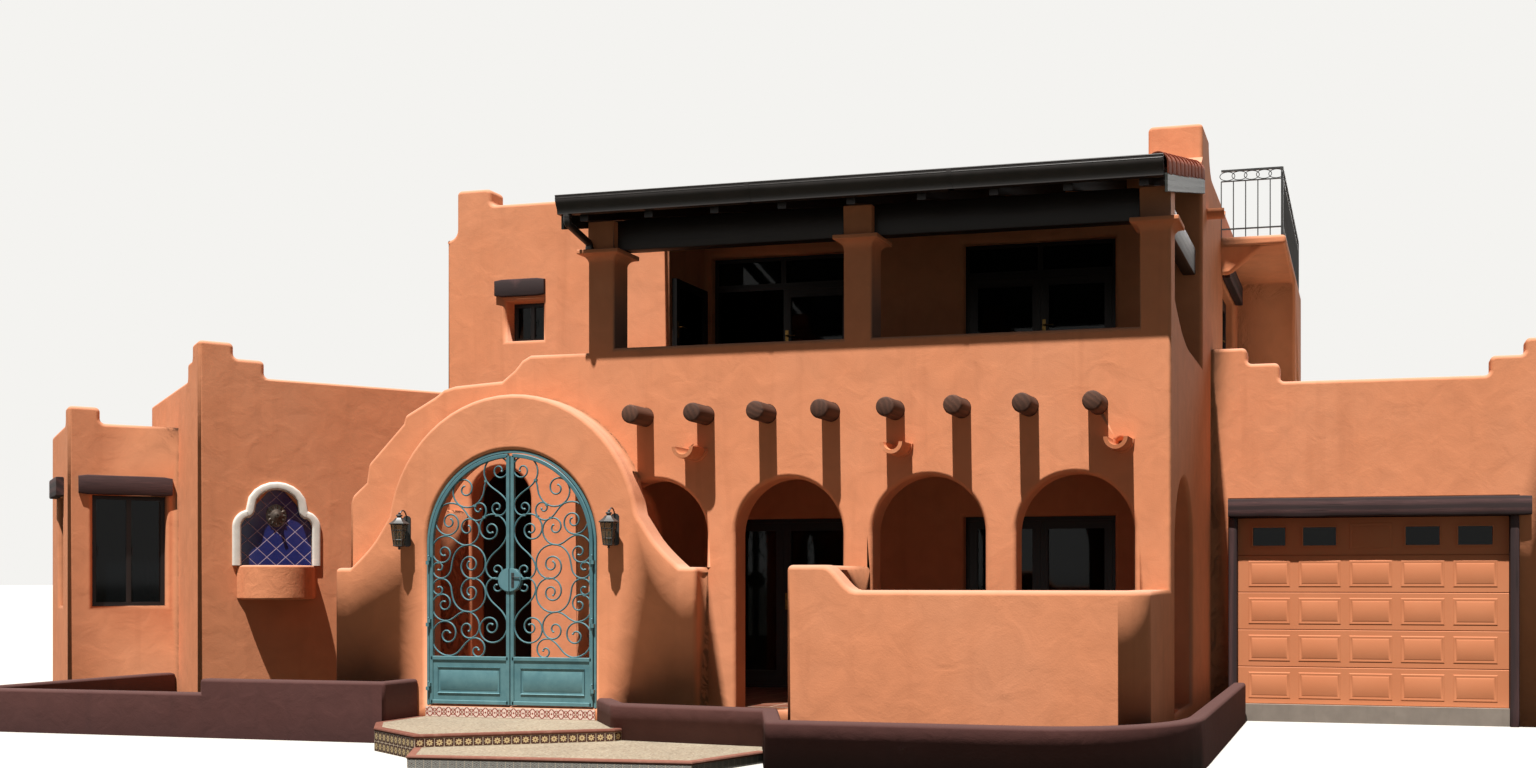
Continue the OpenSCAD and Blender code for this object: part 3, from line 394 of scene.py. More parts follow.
class Repeater:
    """Geometry Nodes tree that lays copies of a unit in rows, each a little out of line."""

    tree: ClassVar[Tree | None] = None

    @classmethod
    def nodes(cls) -> Tree:
        """Build the tree on its first use; the unit is the mesh that carries the modifier.

        Returns:
            The tree, which all rows share.
        """
        if cls.tree:
            return cls.tree
        tree = bpy.data.node_groups.new("rows of copies", "GeometryNodeTree")
        ports = tree.interface
        ports.new_socket("Geometry", in_out="INPUT", socket_type="NodeSocketGeometry")
        for name, kind in (("Across", "Int"), ("Along", "Int"), ("Step across", "Vector"),
                           ("Step along", "Vector"), ("Shift", "Vector"), ("Turn", "Vector"),
                           ("Seed", "Int"), ("Material", "Material")):
            ports.new_socket(name, in_out="INPUT", socket_type="NodeSocket" + kind)
        ports.new_socket("Geometry", in_out="OUTPUT", socket_type="NodeSocketGeometry")
        add = partial(add_node, tree)
        given = add("NodeGroupInput").node.outputs
        count = add("ShaderNodeMath", {0: given["Across"], 1: given["Along"]},
                    operation="MULTIPLY")
        index = add("GeometryNodeInputIndex")
        row = add("ShaderNodeMath", {0: index, 1: given["Across"]}, operation="DIVIDE")
        row = add("ShaderNodeMath", {0: row}, operation="FLOOR")
        column = add("ShaderNodeMath", {0: index, 1: given["Across"]}, operation="MODULO")
        spot, up = (add("ShaderNodeVectorMath", {0: given[name], "Scale": number},
            operation="SCALE") for name, number in (("Step across", column), ("Step along", row)))
        spot = add("ShaderNodeVectorMath", {0: spot, 1: up}, operation="ADD")
        stray = add("FunctionNodeRandomValue", {"Min": (-1, -1, -1), "Seed": given["Seed"]},
                    data_type="FLOAT_VECTOR")
        stray = add("ShaderNodeVectorMath", {0: stray, 1: given["Shift"]}, operation="MULTIPLY")
        spot = add("ShaderNodeVectorMath", {0: spot, 1: stray}, operation="ADD")
        second, third = (add("ShaderNodeMath", {0: given["Seed"], 1: more})
                         for more in (7.0, 13.0))
        turn = add("FunctionNodeRandomValue", {"Min": (-1, -1, -1), "Seed": second},
                   data_type="FLOAT_VECTOR")
        turn = add("ShaderNodeVectorMath", {0: turn, 1: given["Turn"]}, operation="MULTIPLY")
        shade = add("FunctionNodeRandomValue", {"Seed": third}, data_type="FLOAT")
        rows = add("GeometryNodePoints", {"Count": count})
        rows = add("GeometryNodeSetPosition", {"Geometry": rows, "Position": spot})
        rows = add("GeometryNodeInstanceOnPoints",
                   {"Points": rows, "Instance": given["Geometry"], "Rotation": turn})
        rows = add("GeometryNodeStoreNamedAttribute", {"Geometry": rows, "Name": "shade",
            "Value": shade}, data_type="FLOAT", domain="INSTANCE")
        rows = add("GeometryNodeRealizeInstances", {"Geometry": rows})
        rows = add("GeometryNodeSetMaterial", {"Geometry": rows, "Material": given["Material"]})
        add("NodeGroupOutput", {"Geometry": rows})
        cls.tree = tree
        return tree

    @classmethod
    def lay(cls, name: str, unit: Piece, finish: "Finish", across: int, along: int,
            step_across: Point, step_along: Point, place: Matrix, shift: Point = (0, 0, 0),
            turn: Point = (0, 0, 0), seed: int = 1, smooth: float | None = 35.0,
            **hang: Any) -> bpy.types.Object:
        """Lay rows of a unit and hang them as one piece.

        Args:
            name: Name of the piece.
            unit: The unit, drawn at the place of the first copy.
            finish: Finish of every copy.
            across: Copies in a row.
            along: Number of rows.
            step_across: Step from one copy to the next in a row.
            step_along: Step from one row to the next.
            place: Where the rows go.
            shift: Largest stray of a copy along each axis, in metres.
            turn: Largest stray turn of a copy round each axis, in radians.
            seed: Seed of the strays.
            smooth: Angle in degrees up to which faces shade smoothly.
            hang: Body, slot and replaced nodes, as for fasten().

        Returns:
            The finished object.
        """
        bmesh.ops.recalc_face_normals(unit.bm, faces=unit.bm.faces)
        mesh = bpy.data.meshes.new(name + "_unit")
        unit.bm.to_mesh(mesh)
        unit.bm.free()
        holder = bpy.data.objects.new(name + "_unit", mesh)
        bpy.context.scene.collection.objects.link(holder)
        rows = holder.modifiers.new("rows", "NODES")
        rows.node_group = cls.nodes()
        values = {"Across": across, "Along": along, "Step across": step_across,
                  "Step along": step_along, "Shift": shift, "Turn": turn, "Seed": seed,
                  "Material": finish.material()}
        for socket in rows.node_group.interface.items_tree:
            if socket.in_out == "INPUT" and socket.name in values:
                rows[socket.identifier] = values[socket.name]
        laid = bpy.data.meshes.new_from_object(
            holder.evaluated_get(bpy.context.evaluated_depsgraph_get()))
        holder.modifiers.clear()
        bpy.data.objects.remove(holder)
        laid.transform(place)
        return fasten(name, laid, [finish], smooth=smooth, **hang)


def fasten(name: str, mesh: bpy.types.Mesh, finishes: Sequence["Finish"], body: str = HOUSE,
           slot: str | None = None, stands_for: Sequence[str] = (),
           smooth: float | None = 35.0) -> bpy.types.Object:
    """Turn a mesh into a dressed piece that rides on a body.

    Args:
        name: Name of the piece.
        mesh: Its mesh, with its place in its points.
        finishes: Materials by material number.
        body: CAD body that carries the piece.
        slot: Name of a material slot; not used.
        stands_for: CAD nodes that the piece replaces.
        smooth: Angle in degrees up to which faces shade smoothly; None for flat faces.

    Returns:
        The finished object.
    """
    if mesh.materials:
        mesh.materials.clear()
    for finish in finishes:
        mesh.materials.append(finish.material())
    piece = bpy.data.objects.new(name, mesh)
    bpy.context.scene.collection.objects.link(piece)
    if smooth is not None:
        mesh.shade_smooth()
        mesh.set_sharp_from_angle(angle=math.radians(smooth))
    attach(piece, body)
    if stands_for:
        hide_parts(*stands_for)
    mesh.calc_loop_triangles()
    LOG.info("%s: %d triangles on %s", name, len(mesh.loop_triangles), body)
    return piece


def merged_copy(node: str, grid: float = 1e-5) -> bmesh.types.BMesh:
    """Copy a CAD node's mesh, with its loose triangles joined.

    Args:
        node: Name of the CAD node.
        grid: Step that its points are rounded to, in metres.

    Returns:
        The joined copy.
    """
    bm = bmesh.new()
    bm.from_mesh(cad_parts[node].data)
    for vert in bm.verts:
        vert.co = Vector([round(c / grid) * grid for c in vert.co])
    bmesh.ops.remove_doubles(bm, verts=bm.verts, dist=grid / 2)
    return bm


def dress(node: str, finish: "Finish") -> None:
    """Give a CAD node that stays in view its finish.

    Args:
        node: Name of the CAD node.
        finish: Finish of its faces.
    """
    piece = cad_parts[node]
    piece.data.materials.clear()
    piece.data.materials.append(finish.material())
    LOG.info("%s keeps its CAD shape", node)


# Finishes

class Finish:
    """A finish that is made once and shared by every piece that has it."""

    made: ClassVar[dict[str, bpy.types.Material]] = {}
    name: str

    def material(self) -> bpy.types.Material:
        """Make the material on its first use.

        Returns:
            The material, the same one on every call.
        """
        if self.name not in Finish.made:
            made = bpy.data.materials.new(self.name)
            made.use_nodes = True
            add = partial(add_node, made.node_tree)
            looks = self.mix(add, add("ShaderNodeTexCoord", out="Object"))
            fill(made.node_tree.nodes["Principled BSDF"].inputs, looks)
            Finish.made[self.name] = made
        return Finish.made[self.name]

    def mix(self, add: Adder, place: Socket) -> Looks:
        """Build the nodes of one kind of finish.

        Args:
            add: add_node() for the tree of the material.
            place: The object's own coordinates, in metres.

        Returns:
            What each of the shader's sockets gets: a constant, a colour or the output of a node.
        """
        raise NotImplementedError


# Boxes round the insides of the house's rooms, a little larger than the rooms themselves, where
# the stucco is darkened as painted shade
ROOM_SHADE_BOXES = ((Vector((-8.74, 2.09, 0.3)), Vector((-6.38, 8.74, 5.86))),
         (Vector((-6.42, 2.96, 0.3)), Vector((-0.27, 8.74, 5.86))))


@dataclass(frozen=True)
class PaintedStucco(Finish):
    """Masonry paint on trowelled lime stucco.

    The paint is matt and even, the trowel leaves shallow waves a hand wide, and the sand in
    the coat gives a fine tooth. The faces that look up carry a painted shade that dulls them
    where the sun falls hardest, and rain soils the foot. Inside the rooms the coat is
    darkened as painted shade, so that openings look deep.
    """

    name: str
    paint: str
    faded: str
    soiled: str
    # Painted shade: the first colour below dulls the faces that look up, the second darkens the
    # rooms' insides.
    top_shade: str = "#bd8f78"
    room_shade: str = "#3b2a20"
    trowel: float = 260 * MM
    grain: float = 14 * MM
    splash: float = 0.30

    def mix(self, add: Adder, place: Socket) -> Looks:
        """Build the nodes; the 2 mm sand is drawn 14 mm wide, so that it shows at all.

        Args:
            add: add_node() for the tree of the material.
            place: The object's own coordinates.

        Returns:
            What each of the shader's sockets gets.
        """
        cloud = add("ShaderNodeTexNoise",
                    {"Vector": place, "Scale": 0.55, "Detail": 5.0, "Roughness": 0.6})
        patch = add("ShaderNodeMapRange",
                    {"Value": cloud, "From Min": 0.42, "From Max": 0.72, "To Max": 0.30})
        base = add("ShaderNodeMix", {"Factor": patch, "A": self.paint, "B": self.faded},
                   data_type="RGBA")
        hand = add("ShaderNodeTexNoise",
                   {"Vector": place, "Scale": 1 / self.trowel, "Detail": 3.0, "Distortion": 0.6})
        tint = add("ShaderNodeMapRange",
            {"Value": hand, "From Min": 0.3, "From Max": 0.7, "To Min": 0.94, "To Max": 1.05})
        base = add("ShaderNodeVectorMath", {0: base, "Scale": tint}, operation="SCALE")
        # Painted shade: the faces that look up are mixed towards a duller colour, to hold down the
        # sun on them.
        up = add("ShaderNodeSeparateXYZ", {0: add("ShaderNodeNewGeometry", out="Normal")}, out="Z")
        top = add("ShaderNodeMapRange",
                  {"Value": up, "From Min": 0.05, "From Max": 0.9, "To Max": 0.85})
        tall = add("ShaderNodeMapping", {"Vector": place, "Scale": (5.0, 5.0, 0.35)})
        streak = add("ShaderNodeTexNoise", {"Vector": tall, "Scale": 1.3, "Detail": 4.0})
        drip = add("ShaderNodeMapRange",
                   {"Value": streak, "From Min": 0.56, "From Max": 0.80, "To Max": 0.20})
        height = add("ShaderNodeSeparateXYZ", {0: place}, out="Z")
        ragged = add("ShaderNodeMath", {0: cloud, 1: 0.5}, operation="MULTIPLY")
        height = add("ShaderNodeMath", {0: height, 1: ragged}, operation="SUBTRACT")
        foot = add("ShaderNodeMapRange",
            {"Value": height, "From Min": self.splash - 0.25, "From Max": -0.25, "To Max": 0.45})
        masks = [(top, self.top_shade), (drip, self.soiled), (foot, self.soiled)]
        # Painted shade: inside each room's box the coat turns dark, so that doors and arches look
        # deep.
        for lo, hi in ROOM_SHADE_BOXES:
            away = add("ShaderNodeVectorMath", {0: place, 1: (lo + hi) / 2}, operation="SUBTRACT")
            away = add("ShaderNodeVectorMath", {0: away}, operation="ABSOLUTE")
            away = add("ShaderNodeVectorMath", {0: (hi - lo) / 2, 1: away}, operation="SUBTRACT")
            least = add("ShaderNodeSeparateXYZ", {0: away}, out="X")
            sides = least.node.outputs
            for axis in ("Y", "Z"):
                least = add("ShaderNodeMath", {0: least, 1: sides[axis]}, operation="MINIMUM")
            masks.append((add("ShaderNodeMath", {0: least, 1: 0.0}, operation="GREATER_THAN"),
                          self.room_shade))
        for mask, colour in masks:
            base = add("ShaderNodeMix", {"Factor": mask, "A": base, "B": colour}, data_type="RGBA")
        sand = add("ShaderNodeTexNoise",
                   {"Vector": place, "Scale": 1 / self.grain, "Detail": 4.0, "Roughness": 0.65})
        rough = add("ShaderNodeMapRange", {"Value": sand, "To Min": 0.78, "To Max": 0.95})
        wave = add("ShaderNodeBump", {"Height": hand, "Strength": 0.30, "Distance": 0.020})
        tooth = add("ShaderNodeBump",
                    {"Height": sand, "Strength": 0.35, "Distance": 0.004, "Normal": wave})
        return {"Base Color": base, "Specular IOR Level": 0.25, "Roughness": rough,
                "Normal": tooth}


@dataclass(frozen=True)
class StainedWood(Finish):
    """Timber under a worn coat of stain or paint.

    The rings of the trunk make long streaks on the faces and arcs on the cut ends. The coat
    lies thin on the raised late wood, so that the streaks show through.
    """

    name: str
    early: str
    late: str
    worn: str
    ring: float = 9 * MM
    gloss: float = 0.55
    checks: float = 0.5

    def mix(self, add: Adder, place: Socket) -> Looks:
        """Build the nodes; the real rings of 3 mm are drawn 9 mm wide to show from afar.

        Args:
            add: add_node() for the tree of the material.
            place: The object's own coordinates.

        Returns:
            What each of the shader's sockets gets.
        """
        grain = add("ShaderNodeAttribute", out="Vector", attribute_name="grain")
        shade = add("ShaderNodeAttribute", out="Fac", attribute_name="shade")
        drawn, fine, split = (add("ShaderNodeVectorMath", {0: grain, 1: (1, 1, k)},
                                  operation="MULTIPLY") for k in (0.06, 0.03, 0.02))
        bent = add("ShaderNodeTexNoise", {"Vector": drawn, "Scale": 9.0, "Detail": 3.0},
                   out="Color")
        bent = add("ShaderNodeVectorMath", {0: bent, "Scale": 0.05}, operation="SCALE")
        bent = add("ShaderNodeVectorMath", {0: bent, 1: drawn})
        rings = add("ShaderNodeTexWave", {"Vector": bent, "Scale": 0.05 / self.ring,
            "Distortion": 1.6, "Detail": 2.0, "Detail Scale": 2.0}, out="Fac", wave_type="RINGS",
            rings_direction="Z")
        fibre = add("ShaderNodeTexNoise", {"Vector": fine, "Scale": 160.0, "Detail": 3.0})
        both = add("ShaderNodeMath", {0: rings, 1: fibre}, operation="MULTIPLY")
        tone = add("ShaderNodeValToRGB", {0: both},
                   stops=((0.08, self.late), (0.55, self.early), (0.95, self.worn)))
        value = add("ShaderNodeMapRange", {"Value": shade, "To Min": 0.82, "To Max": 1.16})
        tone = add("ShaderNodeVectorMath", {0: tone, "Scale": value}, operation="SCALE")
        crack = add("ShaderNodeTexNoise", {"Vector": split, "Scale": 34.0, "Detail": 2.0})
        crack = add("ShaderNodeMapRange", {"Value": crack, "From Min": 0.66, "From Max": 0.70})
        dark = add("ShaderNodeMath", {0: crack, 1: self.checks}, operation="MULTIPLY")
        tone = add("ShaderNodeMix", {"Factor": dark, "A": tone, "B": "#120d0b"}, data_type="RGBA")
        relief = add("ShaderNodeMath", {0: both, 1: dark}, operation="SUBTRACT")
        bump = add("ShaderNodeBump", {"Height": relief, "Strength": 0.5, "Distance": 0.003})
        return {"Base Color": tone, "Roughness": self.gloss, "Specular IOR Level": 0.35,
                "Normal": bump}


@dataclass(frozen=True)
class PaintedIron(Finish):
    """Brush-painted wrought iron.

    The paint is satin; it has chalked on the faces that look up and worn to pale primer on
    the arrises, with a little rust where water stands.
    """

    name: str
    paint: str
    chalk: str
    rust: str = "#5d3a26"
    gloss: float = 0.42
    wear: float = 0.6

    def mix(self, add: Adder, place: Socket) -> Looks:
        """Build the nodes; the brush marks of 1 mm are drawn 6 mm wide.

        Args:
            add: add_node() for the tree of the material.
            place: The object's own coordinates.

        Returns:
            What each of the shader's sockets gets.
        """
        cloud = add("ShaderNodeTexNoise",
                    {"Vector": place, "Scale": 7.0, "Detail": 5.0, "Roughness": 0.6})
        up = add("ShaderNodeSeparateXYZ", {0: add("ShaderNodeNewGeometry", out="Normal")}, out="Z")
        top = add("ShaderNodeMapRange",
                  {"Value": up, "From Min": 0.1, "From Max": 1.0, "To Max": 0.5})
        arris = add("ShaderNodeNewGeometry", out="Pointiness")
        arris = add("ShaderNodeMapRange",
                    {"Value": arris, "From Min": 0.52, "From Max": 0.60, "To Max": self.wear})
        both = add("ShaderNodeMath", {0: top, 1: arris}, operation="ADD", use_clamp=True)
        uneven = add("ShaderNodeMapRange",
            {"Value": cloud, "From Min": 0.3, "From Max": 0.7, "To Min": 0.5, "To Max": 1.2})
        both = add("ShaderNodeMath", {0: both, 1: uneven}, operation="MULTIPLY")
        spot = add("ShaderNodeTexNoise",
                   {"Vector": place, "Scale": 23.0, "Detail": 6.0, "Roughness": 0.7})
        spot = add("ShaderNodeMapRange",
                   {"Value": spot, "From Min": 0.66, "From Max": 0.74, "To Max": 0.5})
        tone = self.paint
        for mask, colour in ((both, self.chalk), (spot, self.rust)):
            tone = add("ShaderNodeMix", {"Factor": mask, "A": tone, "B": colour}, data_type="RGBA")
        rough = add("ShaderNodeMapRange",
                    {"Value": cloud, "To Min": self.gloss - 0.1, "To Max": self.gloss + 0.2})
        brush = add("ShaderNodeTexNoise", {"Vector": place, "Scale": 170.0, "Detail": 2.0})
        bump = add("ShaderNodeBump", {"Height": brush, "Strength": 0.25, "Distance": 0.001})
        return {"Base Color": tone, "Roughness": rough, "Normal": bump}


@dataclass(frozen=True)
class FiredClay(Finish):
    """Hand-made clay, unglazed: every piece burnt a little differently, with pale lime bloom."""

    name: str
    burnt: str
    warm: str
    bloom: str

    def mix(self, add: Adder, place: Socket) -> Looks:
        """Build the nodes; the shade of each piece comes from its own attribute.

        Args:
            add: add_node() for the tree of the material.
            place: The object's own coordinates.

        Returns:
            What each of the shader's sockets gets.
        """
        shade = add("ShaderNodeAttribute", out="Fac", attribute_name="shade")
        base = add("ShaderNodeValToRGB", {0: shade},
                   stops=((0.0, self.burnt), (0.5, self.warm), (1.0, self.bloom)))
        cloud = add("ShaderNodeTexNoise",
                    {"Vector": place, "Scale": 14.0, "Detail": 6.0, "Roughness": 0.65})
        for start, end, most, colour in ((0.52, 0.75, 0.45, self.bloom),
                                         (0.42, 0.30, 0.5, self.burnt)):
            mask = add("ShaderNodeMapRange",
                       {"Value": cloud, "From Min": start, "From Max": end, "To Max": most})
            base = add("ShaderNodeMix", {"Factor": mask, "A": base, "B": colour}, data_type="RGBA")
        grit = add("ShaderNodeTexNoise", {"Vector": place, "Scale": 90.0, "Detail": 4.0})
        bump = add("ShaderNodeBump", {"Height": grit, "Strength": 0.4, "Distance": 0.002})
        return {"Base Color": base, "Roughness": 0.85, "Specular IOR Level": 0.2, "Normal": bump}


@dataclass(frozen=True)
class Plain(Finish):
    """A finish of one colour with a faint cloud in it and a fine tooth."""

    name: str
    tone: str
    second: str
    rough: float = 0.6
    metal: float = 0.0
    scale: float = 6.0
    tooth: float = 60.0
    depth: float = 0.001
    shine: float = 0.4

    def mix(self, add: Adder, place: Socket) -> Looks:
        """Build the nodes.

        Args:
            add: add_node() for the tree of the material.
            place: The object's own coordinates.

        Returns:
            What each of the shader's sockets gets.
        """
        cloud = add("ShaderNodeTexNoise",
                    {"Vector": place, "Scale": self.scale, "Detail": 5.0, "Roughness": 0.6})
        spread = add("ShaderNodeMapRange", {"Value": cloud, "From Min": 0.35, "From Max": 0.65})
        base = add("ShaderNodeMix", {"Factor": spread, "A": self.tone, "B": self.second},
                   data_type="RGBA")
        rough = add("ShaderNodeMapRange",
                    {"Value": cloud, "To Min": self.rough - 0.08, "To Max": self.rough + 0.08})
        fine = add("ShaderNodeTexNoise", {"Vector": place, "Scale": self.tooth, "Detail": 3.0})
        bump = add("ShaderNodeBump", {"Height": fine, "Strength": 0.35, "Distance": self.depth})
        return {"Base Color": base, "Metallic": self.metal, "Specular IOR Level": self.shine,
                "Roughness": rough, "Normal": bump}


@dataclass(frozen=True)
class Glazing(Finish):
    """Window glass whose near-black tint is painted shade for the dim room behind it, with a clear
    reflection of the sky.
    """

    name: str
    tint: str
    clear: float = 0.35
    ripple: float = 0.0

    def mix(self, add: Adder, place: Socket) -> Looks:
        """Build the nodes; the glass lets part of the light through without bending it.

        Args:
            add: add_node() for the tree of the material.
            place: The object's own coordinates.

        Returns:
            What each of the shader's sockets gets.
        """
        # The tint is painted shade: the glass itself is coloured dark for the unlit room behind
        # it.
        looks = {"Base Color": self.tint, "Roughness": 0.04, "Specular IOR Level": 0.25}
        nodes = place.id_data.nodes
        through = add("ShaderNodeBsdfTransparent", {"Color": "#c9d6d4"})
        mixed = add("ShaderNodeMixShader",
                    {0: self.clear, 1: nodes["Principled BSDF"].outputs[0], 2: through})
        fill(nodes["Material Output"].inputs, {"Surface": mixed})
        if self.ripple:
            wave = add("ShaderNodeTexNoise", {"Vector": place, "Scale": 40.0})
            looks["Normal"] = add("ShaderNodeBump",
                                  {"Height": wave, "Strength": self.ripple, "Distance": 0.002})
        return looks


@dataclass(frozen=True)
class WashedAggregate(Finish):
    """River pebbles laid bare in pale cement: rounded grey, tan and white stones."""

    name: str = "washed pebble aggregate on the steps"

    def mix(self, add: Adder, place: Socket) -> Looks:
        """Build the nodes; the real pebbles of 8 mm are drawn 22 mm wide.

        Args:
            add: add_node() for the tree of the material.
            place: The object's own coordinates.

        Returns:
            What each of the shader's sockets gets.
        """
        cells = add("ShaderNodeTexVoronoi", {"Vector": place, "Scale": 45.0})
        hue = add("ShaderNodeSeparateColor", {0: cells.node.outputs["Color"]}, out=0)
        stones = add("ShaderNodeValToRGB", {0: hue}, stops=((0.0, "#6b5c4c"), (0.3, "#8d7e6b"),
            (0.55, "#a0957f"), (0.8, "#7b6a56"), (1.0, "#aca28f")))
        gap = add("ShaderNodeMapRange", {"Value": cells, "From Min": 0.42, "From Max": 0.62})
        tone = add("ShaderNodeMix", {"Factor": gap, "A": stones, "B": "#8f8370"}, data_type="RGBA")
        stain = add("ShaderNodeTexNoise", {"Vector": place, "Scale": 2.2, "Detail": 5.0})
        stain = add("ShaderNodeMapRange", {"Value": stain, "To Min": 0.75, "To Max": 1.15})
        tone = add("ShaderNodeVectorMath", {0: tone, "Scale": stain}, operation="SCALE")
        bump = add("ShaderNodeBump", {"Height": cells, "Strength": 0.6, "Distance": 0.004},
                   invert=True)
        return {"Base Color": tone, "Roughness": 0.75, "Normal": bump}


class Motif(Enum):
    """Patterns of the hand-painted tiles, each as the sums that draw it over one tile.

    A sum has the name of its result, its operation and two terms, which are numbers or names:
    u and v run from -0.5 to 0.5, au and av are their sizes, diamond is the sum of those, far
    and spin are polar. BELOW masks where the first term lies under the second, and LENGTH is
    the distance from the origin. The first coat goes where first is one, then extra.
    """

    LATTICE = (
        ("first", "SUBTRACT", "diamond", 0.5), ("first", "ABSOLUTE", "first", 0.0),
        ("first", "BELOW", "first", 0.075), ("arc", "SUBTRACT", "au", 0.5),
        ("arc", "LENGTH", "arc", "v"), ("arc", "SUBTRACT", "arc", 0.28),
        ("arc", "ABSOLUTE", "arc", 0.0), ("arc", "BELOW", "arc", 0.05),
        ("first", "MAXIMUM", "first", "arc"), ("extra", "BELOW", "diamond", 0.12))
    ROSETTE = (
        ("petal", "MULTIPLY", "spin", 8.0), ("petal", "COSINE", "petal", 0.0),
        ("petal", "MULTIPLY", "petal", 0.07), ("first", "SUBTRACT", "far", "petal"),
        ("first", "BELOW", "first", 0.30), ("corner", "SUBTRACT", 0.5, "au"),
        ("corner", "MULTIPLY", "corner", 1.0), ("other", "SUBTRACT", 0.5, "av"),
        ("corner", "ADD", "corner", "other"), ("corner", "BELOW", "corner", 0.16),
        ("first", "MAXIMUM", "first", "corner"), ("extra", "BELOW", "far", 0.10))
    ZIGZAG = (
        ("wave", "ADD", "u", 0.5), ("wave", "PINGPONG", "wave", 0.25),
        ("wave", "MULTIPLY", "wave", 2.0), ("wave", "ADD", "v", "wave"),
        ("wave", "PINGPONG", "wave", 0.25), ("wave", "SUBTRACT", "wave", 0.125),
        ("wave", "ABSOLUTE", "wave", 0.0), ("first", "BELOW", "wave", 0.055),
        ("extra", "BELOW", "diamond", 0.06))
    PLAIN = (("first", "BELOW", "far", -1.0),)


@dataclass(frozen=True)
class PaintedTile(Finish):
    """Glazed tile with a hand-painted motif and pale grout; the glaze is wet-looking."""

    name: str
    motif: Motif
    ground: str
    paint: str
    second: str
    joint: str = "#b8a893"
    soft: float = 0.02

    def mix(self, add: Adder, place: Socket) -> Looks:
        """Build the nodes from the tile's own coordinates, counted in tiles, in attribute tile.

        Args:
            add: add_node() for the tree of the material.
            place: The object's own coordinates.

        Returns:
            What each of the shader's sockets gets.
        """
        uv = add("ShaderNodeAttribute", out="Vector", attribute_name="tile")
        cell = add("ShaderNodeVectorMath", {0: uv}, operation="FRACTION")
        cell = add("ShaderNodeVectorMath", {0: cell, 1: (0.5, 0.5, 0.0)}, operation="SUBTRACT")
        flat = add("ShaderNodeVectorMath", {0: cell, 1: (1, 1, 0)}, operation="MULTIPLY")
        u = add("ShaderNodeSeparateXYZ", {0: cell}, out="X")
        values = {"u": u, "v": u.node.outputs["Y"],
                  "far": add("ShaderNodeVectorMath", {0: flat}, out="Value", operation="LENGTH")}
        sums = (("au", "ABSOLUTE", "u", 0.0), ("av", "ABSOLUTE", "v", 0.0),
                ("spin", "ARCTAN2", "v", "u"), ("diamond", "ADD", "au", "av"),
                ("rim", "MAXIMUM", "au", "av"))
        for name, kind, a, b in sums + self.motif.value:
            a, b = values.get(a, a), values.get(b, b)
            if kind == "BELOW":
                values[name] = add("ShaderNodeMapRange",
                    {"Value": a, "From Min": b + self.soft, "From Max": b - self.soft})
            elif kind == "LENGTH":
                both = add("ShaderNodeCombineXYZ", {0: a, 1: b})
                values[name] = add("ShaderNodeVectorMath", {0: both}, out="Value",
                                   operation="LENGTH")
            else:
                values[name] = add("ShaderNodeMath", {0: a, 1: b}, operation=kind)
        tone = self.ground
        for mask, colour in (("first", self.paint), ("extra", self.second)):
            tone = add("ShaderNodeMix", {"Factor": values.get(mask, values["first"]), "A": tone,
                                         "B": colour}, data_type="RGBA")
        hand = add("ShaderNodeTexNoise", {"Vector": uv, "Scale": 2.0, "Detail": 3.0})
        hand = add("ShaderNodeMapRange", {"Value": hand, "To Min": 0.8, "To Max": 1.2})
        tone = add("ShaderNodeVectorMath", {0: tone, "Scale": hand}, operation="SCALE")
        joint = add("ShaderNodeMapRange",
                    {"Value": values["rim"], "From Min": 0.465, "From Max": 0.48})
        tone = add("ShaderNodeMix", {"Factor": joint, "A": tone, "B": self.joint},
                   data_type="RGBA")
        rough = add("ShaderNodeMapRange", {"Value": joint, "To Min": 0.16, "To Max": 0.85})
        bump = add("ShaderNodeBump", {"Height": joint, "Strength": 0.6, "Distance": 0.002},
                   invert=True)
        return {"Base Color": tone, "Roughness": rough, "Normal": bump}


@dataclass(frozen=True)
class TileFloor(Finish):
    """Square clay floor tiles, darkened as painted shade, with wide pale joints, and bare screed
    outside the house.
    """

    name: str = "saltillo floor tile"
    side: float = 300 * MM
    screed: str = "#8f8378"

    def mix(self, add: Adder, place: Socket) -> Looks:
        """Build the nodes; tiles lie left of X = 0, on the faces that look up.

        Args:
            add: add_node() for the tree of the material.
            place: The object's own coordinates.

        Returns:
            What each of the shader's sockets gets.
        """
        # The tile colours are darker than fresh saltillo: painted shade for the shadow of the
        # plants in front of the arches, which also holds down the light the floor throws back.
        tiles = add("ShaderNodeTexBrick", {"Vector": place, "Scale": 1.0, "Mortar Size": 0.008,
            "Brick Width": self.side, "Row Height": self.side, "Color1": "#6b3c2b",
            "Color2": "#7d4b37", "Mortar": "#a99680", "Bias": 0.0}, out="Color", offset=0.0)
        joint = tiles.node.outputs["Fac"]
        cloud = add("ShaderNodeTexNoise", {"Vector": place, "Scale": 6.0, "Detail": 4.0})
        cloud = add("ShaderNodeMapRange", {"Value": cloud, "To Min": 0.7, "To Max": 1.2})
        side = add("ShaderNodeSeparateXYZ", {0: place}, out="X")
        up = add("ShaderNodeSeparateXYZ", {0: add("ShaderNodeNewGeometry", out="Normal")}, out="Z")
        side = add("ShaderNodeMath", {0: side, 1: 0.0}, operation="LESS_THAN")
        up = add("ShaderNodeMath", {0: up, 1: 0.5}, operation="GREATER_THAN")
        laid = add("ShaderNodeMath", {0: side, 1: up}, operation="MULTIPLY")
        tiles = add("ShaderNodeMix", {"Factor": laid, "A": self.screed, "B": tiles},
                    data_type="RGBA")
        tone = add("ShaderNodeVectorMath", {0: tiles, "Scale": cloud}, operation="SCALE")
        bump = add("ShaderNodeBump", {"Height": joint, "Strength": 0.5, "Distance": 0.004},
                   invert=True)
        return {"Base Color": tone, "Roughness": 0.5, "Normal": bump}


